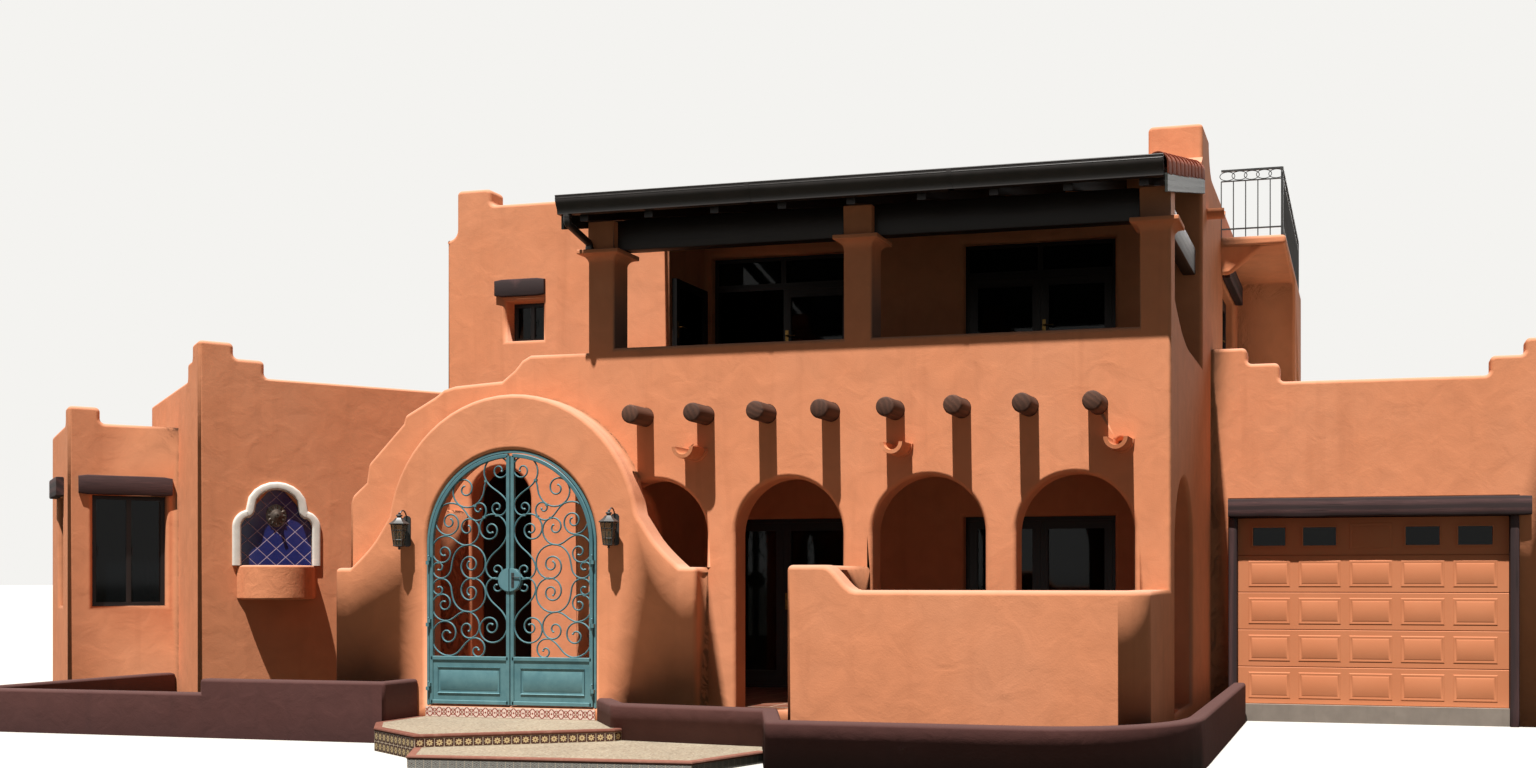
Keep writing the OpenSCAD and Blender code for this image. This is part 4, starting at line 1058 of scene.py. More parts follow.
@dataclass(frozen=True)
class StillWater(Finish):
    """Still water: clear, with a faint ripple under the spout."""

    name: str = "still water in the basin"

    def mix(self, add: Adder, place: Socket) -> Looks:
        """Build the nodes.

        Args:
            add: add_node() for the tree of the material.
            place: The object's own coordinates.

        Returns:
            What each of the shader's sockets gets.
        """
        wave = add("ShaderNodeTexNoise", {"Vector": place, "Scale": 16.0, "Detail": 2.0})
        bump = add("ShaderNodeBump", {"Height": wave, "Strength": 0.15, "Distance": 0.01})
        return {"Base Color": "#9fb3ad", "Roughness": 0.02, "Transmission Weight": 0.9,
                "IOR": 1.33, "Normal": bump}


# Painted shade: the stucco finishes dull their faces that look up and darken the rooms' insides.
FACADE = PaintedStucco("masonry paint on trowelled stucco", "#d98c63", "#e0a07c", "#a2603f")
WINE = PaintedStucco("wine masonry paint on planter stucco", "#553430", "#6a4844", "#3a2726",
                     top_shade="#4c3532", trowel=180 * MM, grain=12 * MM)
BASIN_STUCCO = PaintedStucco("masonry paint on the basin", "#d98c63", "#e0a07c", "#8d5a3c",
                             trowel=120 * MM, grain=10 * MM)
CREAM = Plain("smooth pale lime plaster", "#d9d3c8", "#e3ded4", rough=0.7, scale=9.0)
DARK_TIMBER = StainedWood("near-black stain on pine joinery", "#1f1714", "#171110", "#2a201b",
                          gloss=0.5)
ROUGH_BROWN = StainedWood("wine-brown paint on rough-sawn lintels", "#4a3231", "#2c1e1e",
                          "#6a4d48", ring=14 * MM, gloss=0.75, checks=0.8)
LOG_WOOD = StainedWood("weathered brown pine log", "#59392a", "#4a2f22", "#6b4937",
                       ring=8 * MM, gloss=0.8, checks=0.5)
VERGE_PAINT = StainedWood("green-black paint on the verge board", "#20231d", "#181a16", "#2c2f27",
                          gloss=0.6)
TEAL = PaintedIron("dusty teal enamel on wrought iron", "#35606a", "#5f868a", wear=0.7)
TEAL_PLATE = PaintedIron("pale teal enamel on the lock plate", "#477580", "#6d9296", wear=0.5)
BLACK_IRON = PaintedIron("black enamel on iron", "#191a1b", "#4a4a48", wear=0.35)
GUTTER = PaintedIron("dark brown enamel on the gutter", "#0e0a09", "#2c241f", wear=0.5,
                     gloss=0.38)
BRASS = Plain("aged brass", "#6f5630", "#8d7142", rough=0.38, metal=1.0, scale=30.0)
BRONZE = Plain("dark cast bronze", "#4a423d", "#6e6259", rough=0.5, metal=0.7, scale=18.0,
               tooth=120.0)
ROOF_TILE = FiredClay("hand-made barrel tile", "#84432f", "#b0624a", "#cb8d70")
CANALE_CLAY = FiredClay("clay drain spout", "#a5623f", "#cf845c", "#dca27e")
NOSING = FiredClay("terracotta bullnose", "#6a4034", "#83584a", "#9c7464")
# Painted shade: the window glass is coloured near black for the dim rooms behind it.
GLASS = Glazing("window glass painted with room shade", "#0b0f12", clear=0.3)
LAMP_GLASS = Glazing("seeded lantern glass", "#59564a", clear=0.55, ripple=0.6)
AGGREGATE = WashedAggregate()
LATTICE_TILE = PaintedTile("cream tile with a dark red lattice", Motif.LATTICE, "#d8c2b6",
                           "#85392c", "#85392c")
ROSETTE_TILE = PaintedTile("brown tile with yellow-cream rosettes", Motif.ROSETTE, "#46271f",
                           "#c4ad80", "#6a3826")
ZIGZAG_TILE = PaintedTile("cream tile with blue-black zigzags", Motif.ZIGZAG, "#a9a59a",
                          "#1c2233", "#6a3a30")
NICHE_TILE = PaintedTile("cobalt glazed tile with pale lilac joints", Motif.PLAIN, "#252f6b",
                         "#252f6b", "#252f6b", joint="#a795a8")
PANEL_PAINT = Plain("terracotta enamel on pressed steel", "#cb7d53", "#cf8258", rough=0.7,
                    scale=1.5, tooth=400.0, depth=0.0004)
SALTILLO = TileFloor()
SCREED = Plain("pale roof coating on screed", "#90867a", "#9c9184", rough=0.9, scale=2.0,
               tooth=30.0, depth=0.004)
RUBBER = Plain("black rubber seal", "#131313", "#1c1c1c", rough=0.8)
BULB = Plain("milk-white candle tube", "#d8cfb8", "#e6dfcc", rough=0.5)
WATER = StillWater()


# Stucco work

@dataclass
class StuccoShell:
    """Walls that one coat of stucco runs over: joined into one skin with hand-rounded edges."""

    name: str
    nodes: tuple[str, ...]
    edge: float = 48 * MM
    fine_edge: float = 10 * MM
    place: Matrix = field(default_factory=lambda: Matrix.Identity(4))
    fine_zones: tuple[tuple[Vector, Vector], ...] = ()
    bare_zones: tuple[tuple[Vector, Vector], ...] = ()
    slot: str = "stucco"

    def joined(self) -> bmesh.types.BMesh:
        """Unite the walls' merged copies in the shell's own straight frame.

        Returns:
            The united walls.
        """
        copies = []
        back = self.place.inverted()
        for node in self.nodes:
            bm = merged_copy(node)
            bmesh.ops.transform(bm, matrix=back, verts=bm.verts)
            for vert in bm.verts:
                vert.co = Vector([round(c, 4) for c in vert.co])
            bmesh.ops.remove_doubles(bm, verts=bm.verts, dist=5e-5)
            mesh = bpy.data.meshes.new(node)
            bm.to_mesh(mesh)
            bm.free()
            copies.append(bpy.data.objects.new(node + "_coat", mesh))
            bpy.context.scene.collection.objects.link(copies[-1])
        others = bpy.data.collections.new(self.name + "_walls")
        for copy in copies[1:]:
            others.objects.link(copy)
        union = copies[0].modifiers.new("union", "BOOLEAN")
        union.operation = "UNION"
        union.operand_type = "COLLECTION"
        union.collection = others
        union.solver = "MANIFOLD"
        mesh = bpy.data.meshes.new_from_object(
            copies[0].evaluated_get(bpy.context.evaluated_depsgraph_get()))
        bm = bmesh.new()
        bm.from_mesh(mesh)
        for copy in copies:
            bpy.data.objects.remove(copy)
        bpy.data.collections.remove(others)
        bmesh.ops.remove_doubles(bm, verts=bm.verts, dist=5e-5)
        bmesh.ops.dissolve_limit(bm, angle_limit=math.radians(0.8), verts=bm.verts,
                                 edges=bm.edges)
        return bm

    def rounding(self, edge: bmesh.types.BMEdge) -> float:
        """Say how far one edge is rounded, in metres; nought leaves it sharp.

        Args:
            edge: Edge of the united walls.

        Returns:
            Width of the rounding.
        """
        if not edge.is_manifold or edge.calc_face_angle_signed(0) < math.radians(30):
            return 0.0
        ends = [self.place @ v.co for v in edge.verts]
        if max(p.z for p in ends) < 0.02:
            return 0.0
        middle = (ends[0] + ends[1]) / 2
        if any(all(lo[i] - 1e-4 <= middle[i] <= hi[i] + 1e-4 for i in range(3))
               for lo, hi in self.bare_zones):
            return 0.0
        fine = any(all(lo[i] <= middle[i] <= hi[i] for i in range(3))
                   for lo, hi in self.fine_zones)
        return self.fine_edge if fine else self.edge

    def build(self, finish: Finish) -> bpy.types.Object:
        """Round the joined walls and hang them as one piece.

        Args:
            finish: Finish of the coat.

        Returns:
            The finished object.
        """
        bm = self.joined()
        weights = bm.edges.layers.float.new("bevel_weight_edge")
        for edge in bm.edges:
            edge[weights] = self.rounding(edge) / self.edge
        mesh = bpy.data.meshes.new(self.name)
        bm.to_mesh(mesh)
        bm.free()
        mesh.transform(self.place)
        holder = bpy.data.objects.new(self.name, mesh)
        bpy.context.scene.collection.objects.link(holder)
        soften = holder.modifiers.new("soften", "BEVEL")
        soften.limit_method = "WEIGHT"
        soften.width = self.edge
        soften.segments = 4
        soften.use_clamp_overlap = False
        soften.loop_slide = True
        even = holder.modifiers.new("even", "WEIGHTED_NORMAL")
        even.weight = 80
        even.keep_sharp = True
        holder.data.shade_smooth()
        rounded = bpy.data.meshes.new_from_object(
            holder.evaluated_get(bpy.context.evaluated_depsgraph_get()))
        bpy.data.objects.remove(holder)
        return fasten(self.name, rounded, [finish], slot=self.slot, stands_for=self.nodes,
                      smooth=None)


@dataclass
class StuccoWork:
    """Stuccoed walls of the main house and of the turned wing."""

    wing_corner: tuple[float, float] = (-11.90, 1.03)
    wing_turn: float = 51.0
    main_walls: tuple[str, ...] = (
        "arcade_wall", "main_right_wall", "main_back_wall", "main_front_wall",
        "tower_front_wall", "tower_left_wall", "tower_right_wall", "loggia_piers", "gate_wall",
        "gate_arch", "terrace_wall", "garage_front_wall", "garage_side_walls", "balcony_slab",
        "rear_block_walls")
    wing_walls: tuple[str, ...] = ("wing_front_wall", "wing_left_wall", "wing_back_wall",
                                   "bay_walls")

    def wing_place(self) -> Matrix:
        """Return the place of the wing, turned about its near corner."""
        return (Matrix.Translation((*self.wing_corner, 0))
                @ Matrix.Rotation(math.radians(self.wing_turn), 4, "Z"))

    def build(self) -> None:
        """Build the two shells."""
        capital_lo, capital_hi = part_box("loggia_piers")
        trim_lo, trim_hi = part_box("garage_trim")
        slack = Vector((0.02, 0.02, 0.02))
        holes = [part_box("vigas"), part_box("canales")]
        bare = [(Vector((lo.x - 0.02, -0.01, lo.z - 0.08)),
                 Vector((hi.x + 0.02, 0.31, hi.z + 0.02))) for lo, hi in holes]
        bare[1][0].z = bare[1][1].z - 0.16
        fine = [(trim_lo - slack, trim_hi + slack)]
        # The strip between the third arch and the terrace wall is narrower than two roundings
        fine.append((Vector((-3.31, -0.02, 0.36)), Vector((-3.27, 0.02, 1.80))))
        fine.append((Vector((capital_lo.x - 0.01, capital_lo.y - 0.01, 4.90)),
                     Vector((capital_hi.x + 0.01, capital_hi.y + 0.01, capital_hi.z + 0.01))))
        StuccoShell("main_walls", self.main_walls, fine_zones=tuple(fine),
                    bare_zones=tuple(bare)).build(FACADE)
        niche_lo, niche_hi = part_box("niche_surround")
        reach = Vector((0.2, 0.2, 0.02))
        StuccoShell("wing_walls", self.wing_walls, place=self.wing_place(),
                    bare_zones=((niche_lo - reach, niche_hi + reach),)).build(FACADE)


# Loggia roof and eaves

def roof_at(y: float) -> float:
    """Return the height of the top of the roof plate over a depth y."""
    return LoggiaRoof.eave_z + (y - LoggiaRoof.front) * math.tan(LoggiaRoof.slope)


@dataclass
class LoggiaRoof:
    """Lean-to roof of the loggia: barrel tiles on boards, rafters and beams."""

    front: ClassVar[float] = -0.55
    eave_z: ClassVar[float] = 5.53
    slope: ClassVar[float] = math.radians(14.2)
    left: float = -6.10
    deck_y: tuple[float, float] = (-0.43, 2.70)
    tile_room: float = 0.09
    board: float = 0.0309
    rafter_room: float = 0.1547
    rafters: int = 9
    columns: int = 26
    rows: int = 10
    exposure: float = 0.314

    def on_slope(self, x: float, y: float, above: float = 0.0) -> Matrix:
        """Return a place on the deck, with its Y axis up the slope."""
        z = roof_at(y) - self.tile_room + above
        return Matrix.Translation((x, y, z)) @ Matrix.Rotation(self.slope, 4, "X")

    def barrel(self, name: str, half: float, rise: float, flip: bool) -> Piece:
        """Draw one tapered barrel tile, its lower end at the origin, hollow down or up.

        Args:
            name: Name of the unit.
            half: Half the width of the tile.
            rise: Height of its arch.
            flip: True for a hollow side up.

        Returns:
            The unit.
        """
        tile, length, thick, sides = Piece(name), 0.40, 0.012, 10
        rings = []
        for y, k, lift in ((0.0, 1.0, 0.013), (0.006, 1.03, 0.013), (length, 0.86, 0.0)):
            arc = arc_of(sides, 0, 180)
            ring = [(half * k * c, rise * k * s) for c, s in arc]
            ring += [((half * k - thick) * c, (rise * k - thick) * s) for c, s in reversed(arc)]
            rings.append([(u, y, (rise - v if flip else v) + lift) for u, v in ring])
        tile.solid(rings)
        return tile

    def rake_tile(self) -> Piece:
        """Draw one tile of the rake, which bends over the edge and hangs down outside it.

        Returns:
            The unit.
        """
        tile, thick = Piece("rake"), 0.013
        rings = []
        for y, k, lift in ((0.0, 1.0, 0.016), (0.006, 1.02, 0.016), (0.40, 0.90, 0.0)):
            arc = arc_of(12, 0, 180)
            outer = [(0.096 * k, -0.105)] + [(0.096 * k * c, 0.092 * k * d) for c, d in arc]
            inner = [((0.096 * k - thick) * c, (0.092 * k - thick) * d) for c, d in reversed(arc)]
            inner.append((0.096 * k - thick, -0.105))
            rings.append([(u, y, v + lift) for u, v in outer + inner])
        tile.solid(rings)
        return tile

    def build(self) -> None:
        """Build tiles, boards, rafters, verge boards and beams."""
        pitch = -self.left / self.columns
        run = Vector((0, self.exposure, 0))
        stray, sway = (0.003, 0.006, 0.001), (0.006, 0.006, 0.012)
        Repeater.lay("roof_pan_tiles", self.barrel("pan", 0.100, 0.046, True), ROOF_TILE,
                     self.columns, self.rows, (pitch, 0, 0), run,
                     self.on_slope(self.left + pitch / 2, self.deck_y[0] - 0.03, 0.002),
                     stray, sway, 3, slot="clay")
        Repeater.lay("roof_cover_tiles", self.barrel("cover", 0.074, 0.052, False), ROOF_TILE,
                     self.columns, self.rows, (0.985 * pitch, 0, 0), run,
                     self.on_slope(self.left + 0.06, self.deck_y[0] - 0.03, 0.022),
                     stray, sway, 5, slot="clay", stands_for=["loggia_roof"])
        Repeater.lay("roof_rake_tiles", self.rake_tile(), ROOF_TILE, 1, self.rows, (0, 0, 0), run,
                     self.on_slope(-0.058, self.deck_y[0] - 0.03, 0.008), (0.002, 0.004, 0.001),
                     sway, 9, slot="clay")
        board = Piece("board")
        board.box((self.left, 0, -self.board * math.cos(self.slope)), (-0.001, 0.136, 0))
        count = int((self.deck_y[1] - self.deck_y[0]) / math.cos(self.slope) / 0.14)
        Repeater.lay("roof_boards", board, DARK_TIMBER, 1, count, (0, 0, 0), (0, 0.14, 0),
                     self.on_slope(0, self.deck_y[0]), slot="clay", smooth=None)
        cove = Piece("ridge_mortar")
        y1, z1 = self.deck_y[1], roof_at(self.deck_y[1])
        cove.solid([[(x, y1 - 0.13, z1 - 0.11), (x, y1 - 0.12, z1 - 0.02), (x, y1 - 0.05,
            z1 + 0.02), (x, y1, z1 + 0.07), (x, y1, z1 - 0.11)] for x in (self.left, 0.0)])
        cove.done(FACADE, slot="clay")
        self.timbers()

    def timbers(self) -> None:
        """Build the rafters, the two verge boards and the beams."""
        wood = Piece("loggia_rafters", 4)
        step = (-self.left - 0.3 - 0.09) / (self.rafters - 1)
        top = self.tile_room + self.board
        for i in range(self.rafters):
            x = self.left + 0.15 + i * step
            self.raking(wood, x, x + 0.09, -0.41, self.deck_y[1], top + self.rafter_room, top)
        self.raking(wood, 0.001, 0.028, -0.43, self.deck_y[1] - 0.001, 0.345, 0.17, 1)
        self.raking(wood, self.left - 0.05, self.left - 0.02, -0.43, 1.77, 0.345, 0.17, 1)
        wood.done(DARK_TIMBER, VERGE_PAINT, slot="dark_timber", stands_for=["loggia_rafters"])
        beams = Piece("loggia_beams", 9)
        for x0, x1 in ((-5.80, -3.28), (-2.98, -0.30)):
            beams.timber((x0, 0.075, 5.09), (x1, 0.225, 5.4125), 5 * MM)
        beams.timber((-0.225, 0.30, 5.09), (-0.075, 2.70, 5.3935), 5 * MM)
        beams.done(DARK_TIMBER, slot="dark_timber", stands_for=["loggia_beam"])

    def raking(self, wood: Piece, x0: float, x1: float, y0: float, y1: float, low: float,
               high: float, part: int = 0) -> None:
        """Add a sloping timber between two depths under the roof, with worn arrises.

        Args:
            wood: Piece that takes the shapes.
            x0, x1: Left and right face.
            y0, y1: Front and rear end.
            low, high: Depths of its faces under the top of the roof.
            part: Material number.
        """
        c, rings, count = 6 * MM, [], 14
        for i in range(count + 1):
            y = y0 + (y1 - y0) * i / count
            wob = 2 * MM * noise.noise((x0 * 7, y * 3, 1.7))
            z0, z1 = roof_at(y) - low + wob, roof_at(y) - high
            rings.append([(x0 + c, y, z0), (x1 - c, y, z0), (x1 + wob, y, z0 + c), (x1, y, z1),
                          (x0, y, z1), (x0 + wob, y, z0 + c)])
        wood.solid(rings, part)


@dataclass
class Eaves:
    """Moulded gutter with a rolled lip, hangers and the downspout at the left pier."""

    ends: tuple[float, float] = (-6.15, 0.0)
    front: float = -0.55
    top: float = 5.53
    wide: float = 0.12
    high: float = 0.18
    sheet: float = 0.004

    def ogee(self, inset: float) -> list[tuple[float, float]]:
        """Return the moulded front as depths and heights, from the lip to the bottom.

        Args:
            inset: Distance inward from the outer face.

        Returns:
            The points.
        """
        points = []
        for i in range(13):
            k = i / 12
            points.append((self.front + inset + 0.042 * (k - math.sin(2 * math.pi * k) / 6.3),
                           self.top - 0.024 - k * (self.high - 0.024 - inset)))
        return points

    def build(self) -> None:
        """Build the trough, its ends and hangers, and the downspout."""
        gutter = Piece("eaves_gutter", 2)
        back, floor = self.front + self.wide, self.top - self.high
        outer = [(self.front, self.top), *self.ogee(0), (back, floor), (back, self.top)]
        inner = [(back - self.sheet, self.top), (back - self.sheet, floor + self.sheet),
                 *reversed(self.ogee(self.sheet)), (self.front + self.sheet, self.top)]
        gutter.solid([[(x, y, z) for y, z in outer + inner] for x in self.ends])
        for x in self.ends:
            side = self.sheet if x < -1 else -self.sheet
            gutter.solid([[(x + d, y, z) for y, z in outer] for d in (0, side)])
        gutter.tube([(x, self.front + 0.004, self.top - 0.002) for x in self.ends], 0.009, 10)
        gutter.tube([(x, self.front + 0.002, self.top - 0.030) for x in self.ends], 0.005, 8)
        for i in range(11):
            x = self.ends[0] + 0.08 + 0.6 * i
            gutter.box((x, self.front + 0.004, self.top - 0.006), (x + 0.025, back, self.top))
        for x in (-4.1, -2.05):
            gutter.solid([[(x + d, y + (0.003 if y > -0.5 else -0.003), z) for y, z in outer]
                          for d in (0, 0.05)])
        x, drop = self.ends[0] + 0.094, 0.038
        y0 = back - 0.044
        path = [(x, y0, floor + 0.01), (x, y0, 5.30), (x, y0 + 0.006, 5.275),
                (x, y0 + 0.02, 5.258), (x, -0.064, 5.160), (x, -0.050, 5.145),
                (x, -0.0443, 5.12), (x, -0.0443, 5.09)]
        gutter.tube(path, drop, 20)
        for z in (5.335, 5.103):
            y = y0 if z > 5.2 else -0.0443
            gutter.lathe([(0.0, -0.012), (drop + 0.004, -0.012), (drop + 0.004, 0.012),
                          (0.0, 0.012)], 20, 0, Matrix.Translation((x, y, z)))
        gutter.done(GUTTER, slot="gutter_metal", stands_for=["eaves_gutter"])


# Timber, clay and joinery

@dataclass
class Logs:
    """Peeled logs that carry the loggia floor, their ends worn and checked."""

    count: int = 8
    first: float = -0.70
    pitch: float = 0.678
    radius: float = 0.10
    height: float = 3.34
    ends: tuple[float, float] = (-0.33, 2.70)

    def build(self) -> None:
        """Build the logs, each with its own slight swelling and wane."""
        logs = Piece("vigas", 12)
        sides, cuts = 22, 22
        for i in range(self.count):
            x = self.first - i * self.pitch
            rings = []
            stops = [0.0, 0.004, 0.012] + [0.03 + (self.ends[1] - self.ends[0] - 0.03) * k / cuts
                                           for k in range(cuts + 1)]
            for s in stops:
                worn = {0.0: 0.80, 0.004: 0.88, 0.012: 0.96}.get(s, 1.0)
                ring = []
                for a in (2 * math.pi * j / sides for j in range(sides)):
                    swell = noise.noise((3 * math.cos(a) + 9 * i, 3 * math.sin(a), 2.5 * s))
                    r = self.radius * worn * (0.97 + 0.028 * min(swell, 1.0))
                    ring.append((x + r * math.cos(a), self.ends[0] + s,
                                 self.height + r * math.sin(a)))
                rings.append(ring)
            logs.solid(rings)
        logs.done(LOG_WOOD, slot="log", stands_for=["vigas"], smooth=50)


@dataclass
class Drains:
    """Half-round clay spouts under the logs, and the one through the right parapet."""

    places: tuple[float, ...] = (-0.48, -2.68, -4.88)
    outer: float = 0.12
    thick: float = 0.045

    def half(self, piece: Piece, place: Matrix, radius: float, reach: float, part: int) -> None:
        """Add one spout that runs along the place's -Y axis, its wall thinned at the outer end.

        Args:
            piece: Piece that takes the shapes.
            place: Where the spout meets the wall.
            radius: Outer radius.
            reach: Length.
            part: Material number.
        """
        rings = []
        for y, grow in ((0.0, 0.0), (-reach + 0.03, 0.0), (-reach + 0.022, 0.0), (-reach, -0.004)):
            inner = radius - self.thick - grow
            rings.append([((radius + grow) * c, y, (radius + grow) * s)
                          for c, s in arc_of(12, 180, 360)]
                         + [(inner * c, y, inner * s) for c, s in arc_of(12, 360, 180)])
        piece.solid(rings, part, place)

    def build(self) -> None:
        """Build the spouts with the mortar collars at the wall."""
        spouts = Piece("canales", 21)
        for x in self.places:
            self.half(spouts, Matrix.Translation((x, 0, 3.0)), self.outer, 0.30, 0)
            self.half(spouts, Matrix.Translation((x, 0, 3.002)), self.outer + 0.014, 0.03, 1)
        turn = Matrix.Rotation(QUARTER, 4, "Z")
        self.half(spouts, Matrix.Translation((0, 3.2, 5.94)) @ turn, 0.10, 0.20, 1)
        spouts.done(CANALE_CLAY, FACADE, slot="clay", stands_for=["canales"])


@dataclass
class Lintels:
    """Rough-sawn timbers over the windows, the side door and the garage door.

    Each has its lower and upper corner, the depth of its waves and the radius of its arrises.
    """

    house: tuple = (((-8.35, 1.735, 5.04), (-7.69, 1.79, 5.25), 5 * MM, 14 * MM),
                    ((0.0, 4.93, 5.50), (0.11, 6.85, 5.76), 7 * MM, 14 * MM))
    wing: tuple = (((-1.09, 1.545, 2.73), (-0.07, 1.60, 2.98), 5 * MM, 14 * MM),
                   ((-1.29, 2.14, 2.73), (-1.195, 3.24, 2.98), 5 * MM, 14 * MM))
    garage: tuple = (((0.21, 3.53, 0.0), (0.31, 3.89, 2.395), 4 * MM, 14 * MM),
                     ((3.37, 3.53, 0.0), (3.47, 3.89, 2.395), 4 * MM, 14 * MM),
                     ((0.21, 3.47, 2.39), (3.60, 3.669, 2.62), 15 * MM, 20 * MM),
                     ((0.212, 3.669, 2.392), (3.468, 3.889, 2.618), 2 * MM, 14 * MM))

    def build(self) -> None:
        """Build the wall lintels, then the garage posts and lintel."""
        wing = StuccoWork().wing_place()
        for name, seed, groups in (
                ("wood_lintels", 31, ((self.house, None), (self.wing, wing))),
                ("garage_trim", 37, ((self.garage, None),))):
            wood = Piece(name, seed)
            for timbers, place in groups:
                for lo, hi, rough, corner in timbers:
                    wood.timber(lo, hi, rough, corner, place)
            wood.done(ROUGH_BROWN, slot="brown_timber", stands_for=[name], smooth=40)


@dataclass
class Doors:
    """Glazed pairs of doors behind the arcade, in the loggia and on the garage roof."""

    columns: tuple[float, float] = (-2.80, -6.00)
    wide: float = 1.80
    high: float = 2.05
    thick: float = 0.056
    stile: float = 0.085
    foot: float = 0.18
    jamb: float = 0.045

    def leaf(self, piece: Piece, place: Matrix, x0: float, x1: float, z0: float, z1: float,
             handle: float | None = None) -> None:
        """Add one leaf: stiles, rails, glazing beads and glass; a handle where one is given.

        Args:
            piece: Piece that takes the shapes.
            place: Lower left corner of the door frame.
            x0, x1: Left and right edge.
            z0, z1: Foot and top.
            handle: Place of the handle across the door.
        """
        t, s = self.thick, self.stile
        top = z1 - s
        for lo, hi in (((x0, 0, z0), (x0 + s, t, z1)), ((x1 - s, 0, z0), (x1, t, z1)),
                       ((x0 + s, 0.001, z0), (x1 - s, t - 0.001, z0 + self.foot)),
                       ((x0 + s, 0.001, top), (x1 - s, t - 0.001, z1))):
            piece.box(lo, hi, 0, place)
        bead = 0.014
        for y in (0.014, t - 0.014):
            piece.sweep([(x, y, z) for x, z in frame_of(x0 + s, z0 + self.foot, x1 - s, top)],
                        ring_of(4, bead, turn=EIGHTH), 0, True, place)
        piece.box((x0 + s, t / 2 - 0.004, z0 + self.foot), (x1 - s, t / 2 + 0.004, top), 1, place)
        if handle is None:
            return
        for y, out in ((0.0, -1), (t, 1)):
            piece.box((handle - 0.02, min(y, y + out * 0.005), z0 + 0.93),
                      (handle + 0.02, max(y, y + out * 0.005), z0 + 1.13), 2, place)
            aim = -1 if handle > (x0 + x1) / 2 else 1
            piece.tube([(handle, y, z0 + 1.06), (handle, y + out * 0.04, z0 + 1.06),
                        (handle + aim * 0.012, y + out * 0.048, z0 + 1.06),
                        (handle + aim * 0.12, y + out * 0.048, z0 + 1.058)], 0.008, 8, 2,
                       place=place)

    def pair(self, piece: Piece, place: Matrix, wide: float, high: float,
             transom: float = 0.0, left_open: bool = False) -> None:
        """Add a frame with its two leaves, and lights over a transom bar where there is one.

        Args:
            piece: Piece that takes the shapes.
            place: Its lower left corner.
            wide: Width.
            high: Height.
            transom: Height of the lights over the bar.
            left_open: True to leave the left leaf out.
        """
        j, t = self.jamb, self.thick
        piece.box((0.001, 0, 0), (j, t + 0.01, high - 0.001), 0, place)
        piece.box((wide - j, 0, 0), (wide - 0.001, t + 0.01, high - 0.001), 0, place)
        piece.box((j, 0, high - j), (wide - j, t + 0.01, high - 0.001), 0, place)
        piece.box((j, 0, 0), (wide - j, t + 0.01, 0.02), 0, place)
        head = high - j - 0.003
        if transom:
            bar = high - transom
            piece.box((j, 0, bar), (wide - j, t, bar + 0.08), 0, place)
            piece.box((wide / 2 - 0.03, 0, bar + 0.08), (wide / 2 + 0.03, t, high - j), 0, place)
            piece.box((j, t / 2 - 0.004, bar + 0.08), (wide - j, t / 2 + 0.004, high - j), 1,
                      place)
            head = bar - 0.003
        if not left_open:
            self.leaf(piece, place, j + 0.003, wide / 2 - 0.001, 0.022, head)
        self.leaf(piece, place, wide / 2 + 0.001, wide - j - 0.003, 0.022, head,
                  wide / 2 + 0.045)

    def build(self) -> None:
        """Build the pairs of both storeys, the side door and the open leaf."""
        doors = Piece("doors", 41)
        for x in self.columns:
            for z, transom, left_open in ((0.35, 0.0, False), (3.54, 0.40, x < -5)):
                self.pair(doors, Matrix.Translation((x, 2.82, z)), self.wide, self.high,
                          transom, left_open)
        turn = Matrix.Rotation(QUARTER, 4, "Z")
        self.pair(doors, Matrix.Translation((-0.12, 5.05, 3.79)) @ turn, 1.68, 1.71)
        back = Matrix.Translation((-6.035, 1.87, 3.562)) @ turn
        self.leaf(doors, back, 0.0, 0.82, 0.0, 1.62, 0.045)
        doors.done(DARK_TIMBER, GLASS, BRASS, slot="dark_timber",
                   stands_for=["door_frames", "door_glass"], smooth=30)


@dataclass
class Windows:
    """Small dark casements of the tower and the bay."""

    bar: float = 0.042
    thick: float = 0.05

    def sash(self, piece: Piece, place: Matrix, wide: float, high: float) -> None:
        """Add a frame with two lights, each with glass, beads and a handle.

        Args:
            piece: Piece that takes the shapes.
            place: Its lower left corner.
            wide: Width.
            high: Height.
        """
        bar, t = self.bar, self.thick
        for lo, hi in (((0.001, 0, 0.001), (bar, t, high - 0.001)),
                       ((wide - bar, 0, 0.001), (wide - 0.001, t, high - 0.001)),
                       ((bar, 0.001, 0.001), (wide - bar, t, bar)),
                       ((bar, 0.001, high - bar), (wide - bar, t, high - 0.001)),
                       ((wide / 2 - 0.022, 0.004, bar), (wide / 2 + 0.022, t, high - bar))):
            piece.box(lo, hi, 0, place)
        piece.box((bar, 0.022, bar), (wide - bar, 0.028, high - bar), 1, place)
        for x0, x1 in ((bar, wide / 2 - 0.022), (wide / 2 + 0.022, wide - bar)):
            piece.sweep([(x, 0.016, z) for x, z in frame_of(x0, bar, x1, high - bar)],
                        ring_of(4, 0.010, turn=EIGHTH), 0, True, place)
            piece.tube([(x0 + 0.02, -0.004, high / 2 - 0.05), (x0 + 0.02, -0.012, high / 2),
                        (x0 + 0.02, -0.004, high / 2 + 0.05)], 0.004, 6, 0, place=place)

    def build(self) -> None:
        """Build the casements of the tower and the bay."""
        wing = StuccoWork().wing_place()
        turn = Matrix.Rotation(-QUARTER, 4, "Z")
        panes = Piece("window_frames", 47)
        self.sash(panes, Matrix.Translation((-8.22, 1.96, 4.52)), 0.49, 0.47)
        self.sash(panes, wing @ Matrix.Translation((-0.94, 1.71, 1.33)), 0.80, 1.40)
        self.sash(panes, wing @ Matrix.Translation((-1.08, 3.09, 1.33)) @ turn, 0.80, 1.40)
        panes.done(DARK_TIMBER, GLASS, slot="dark_timber", stands_for=["window_frames"])


# Gate and lanterns

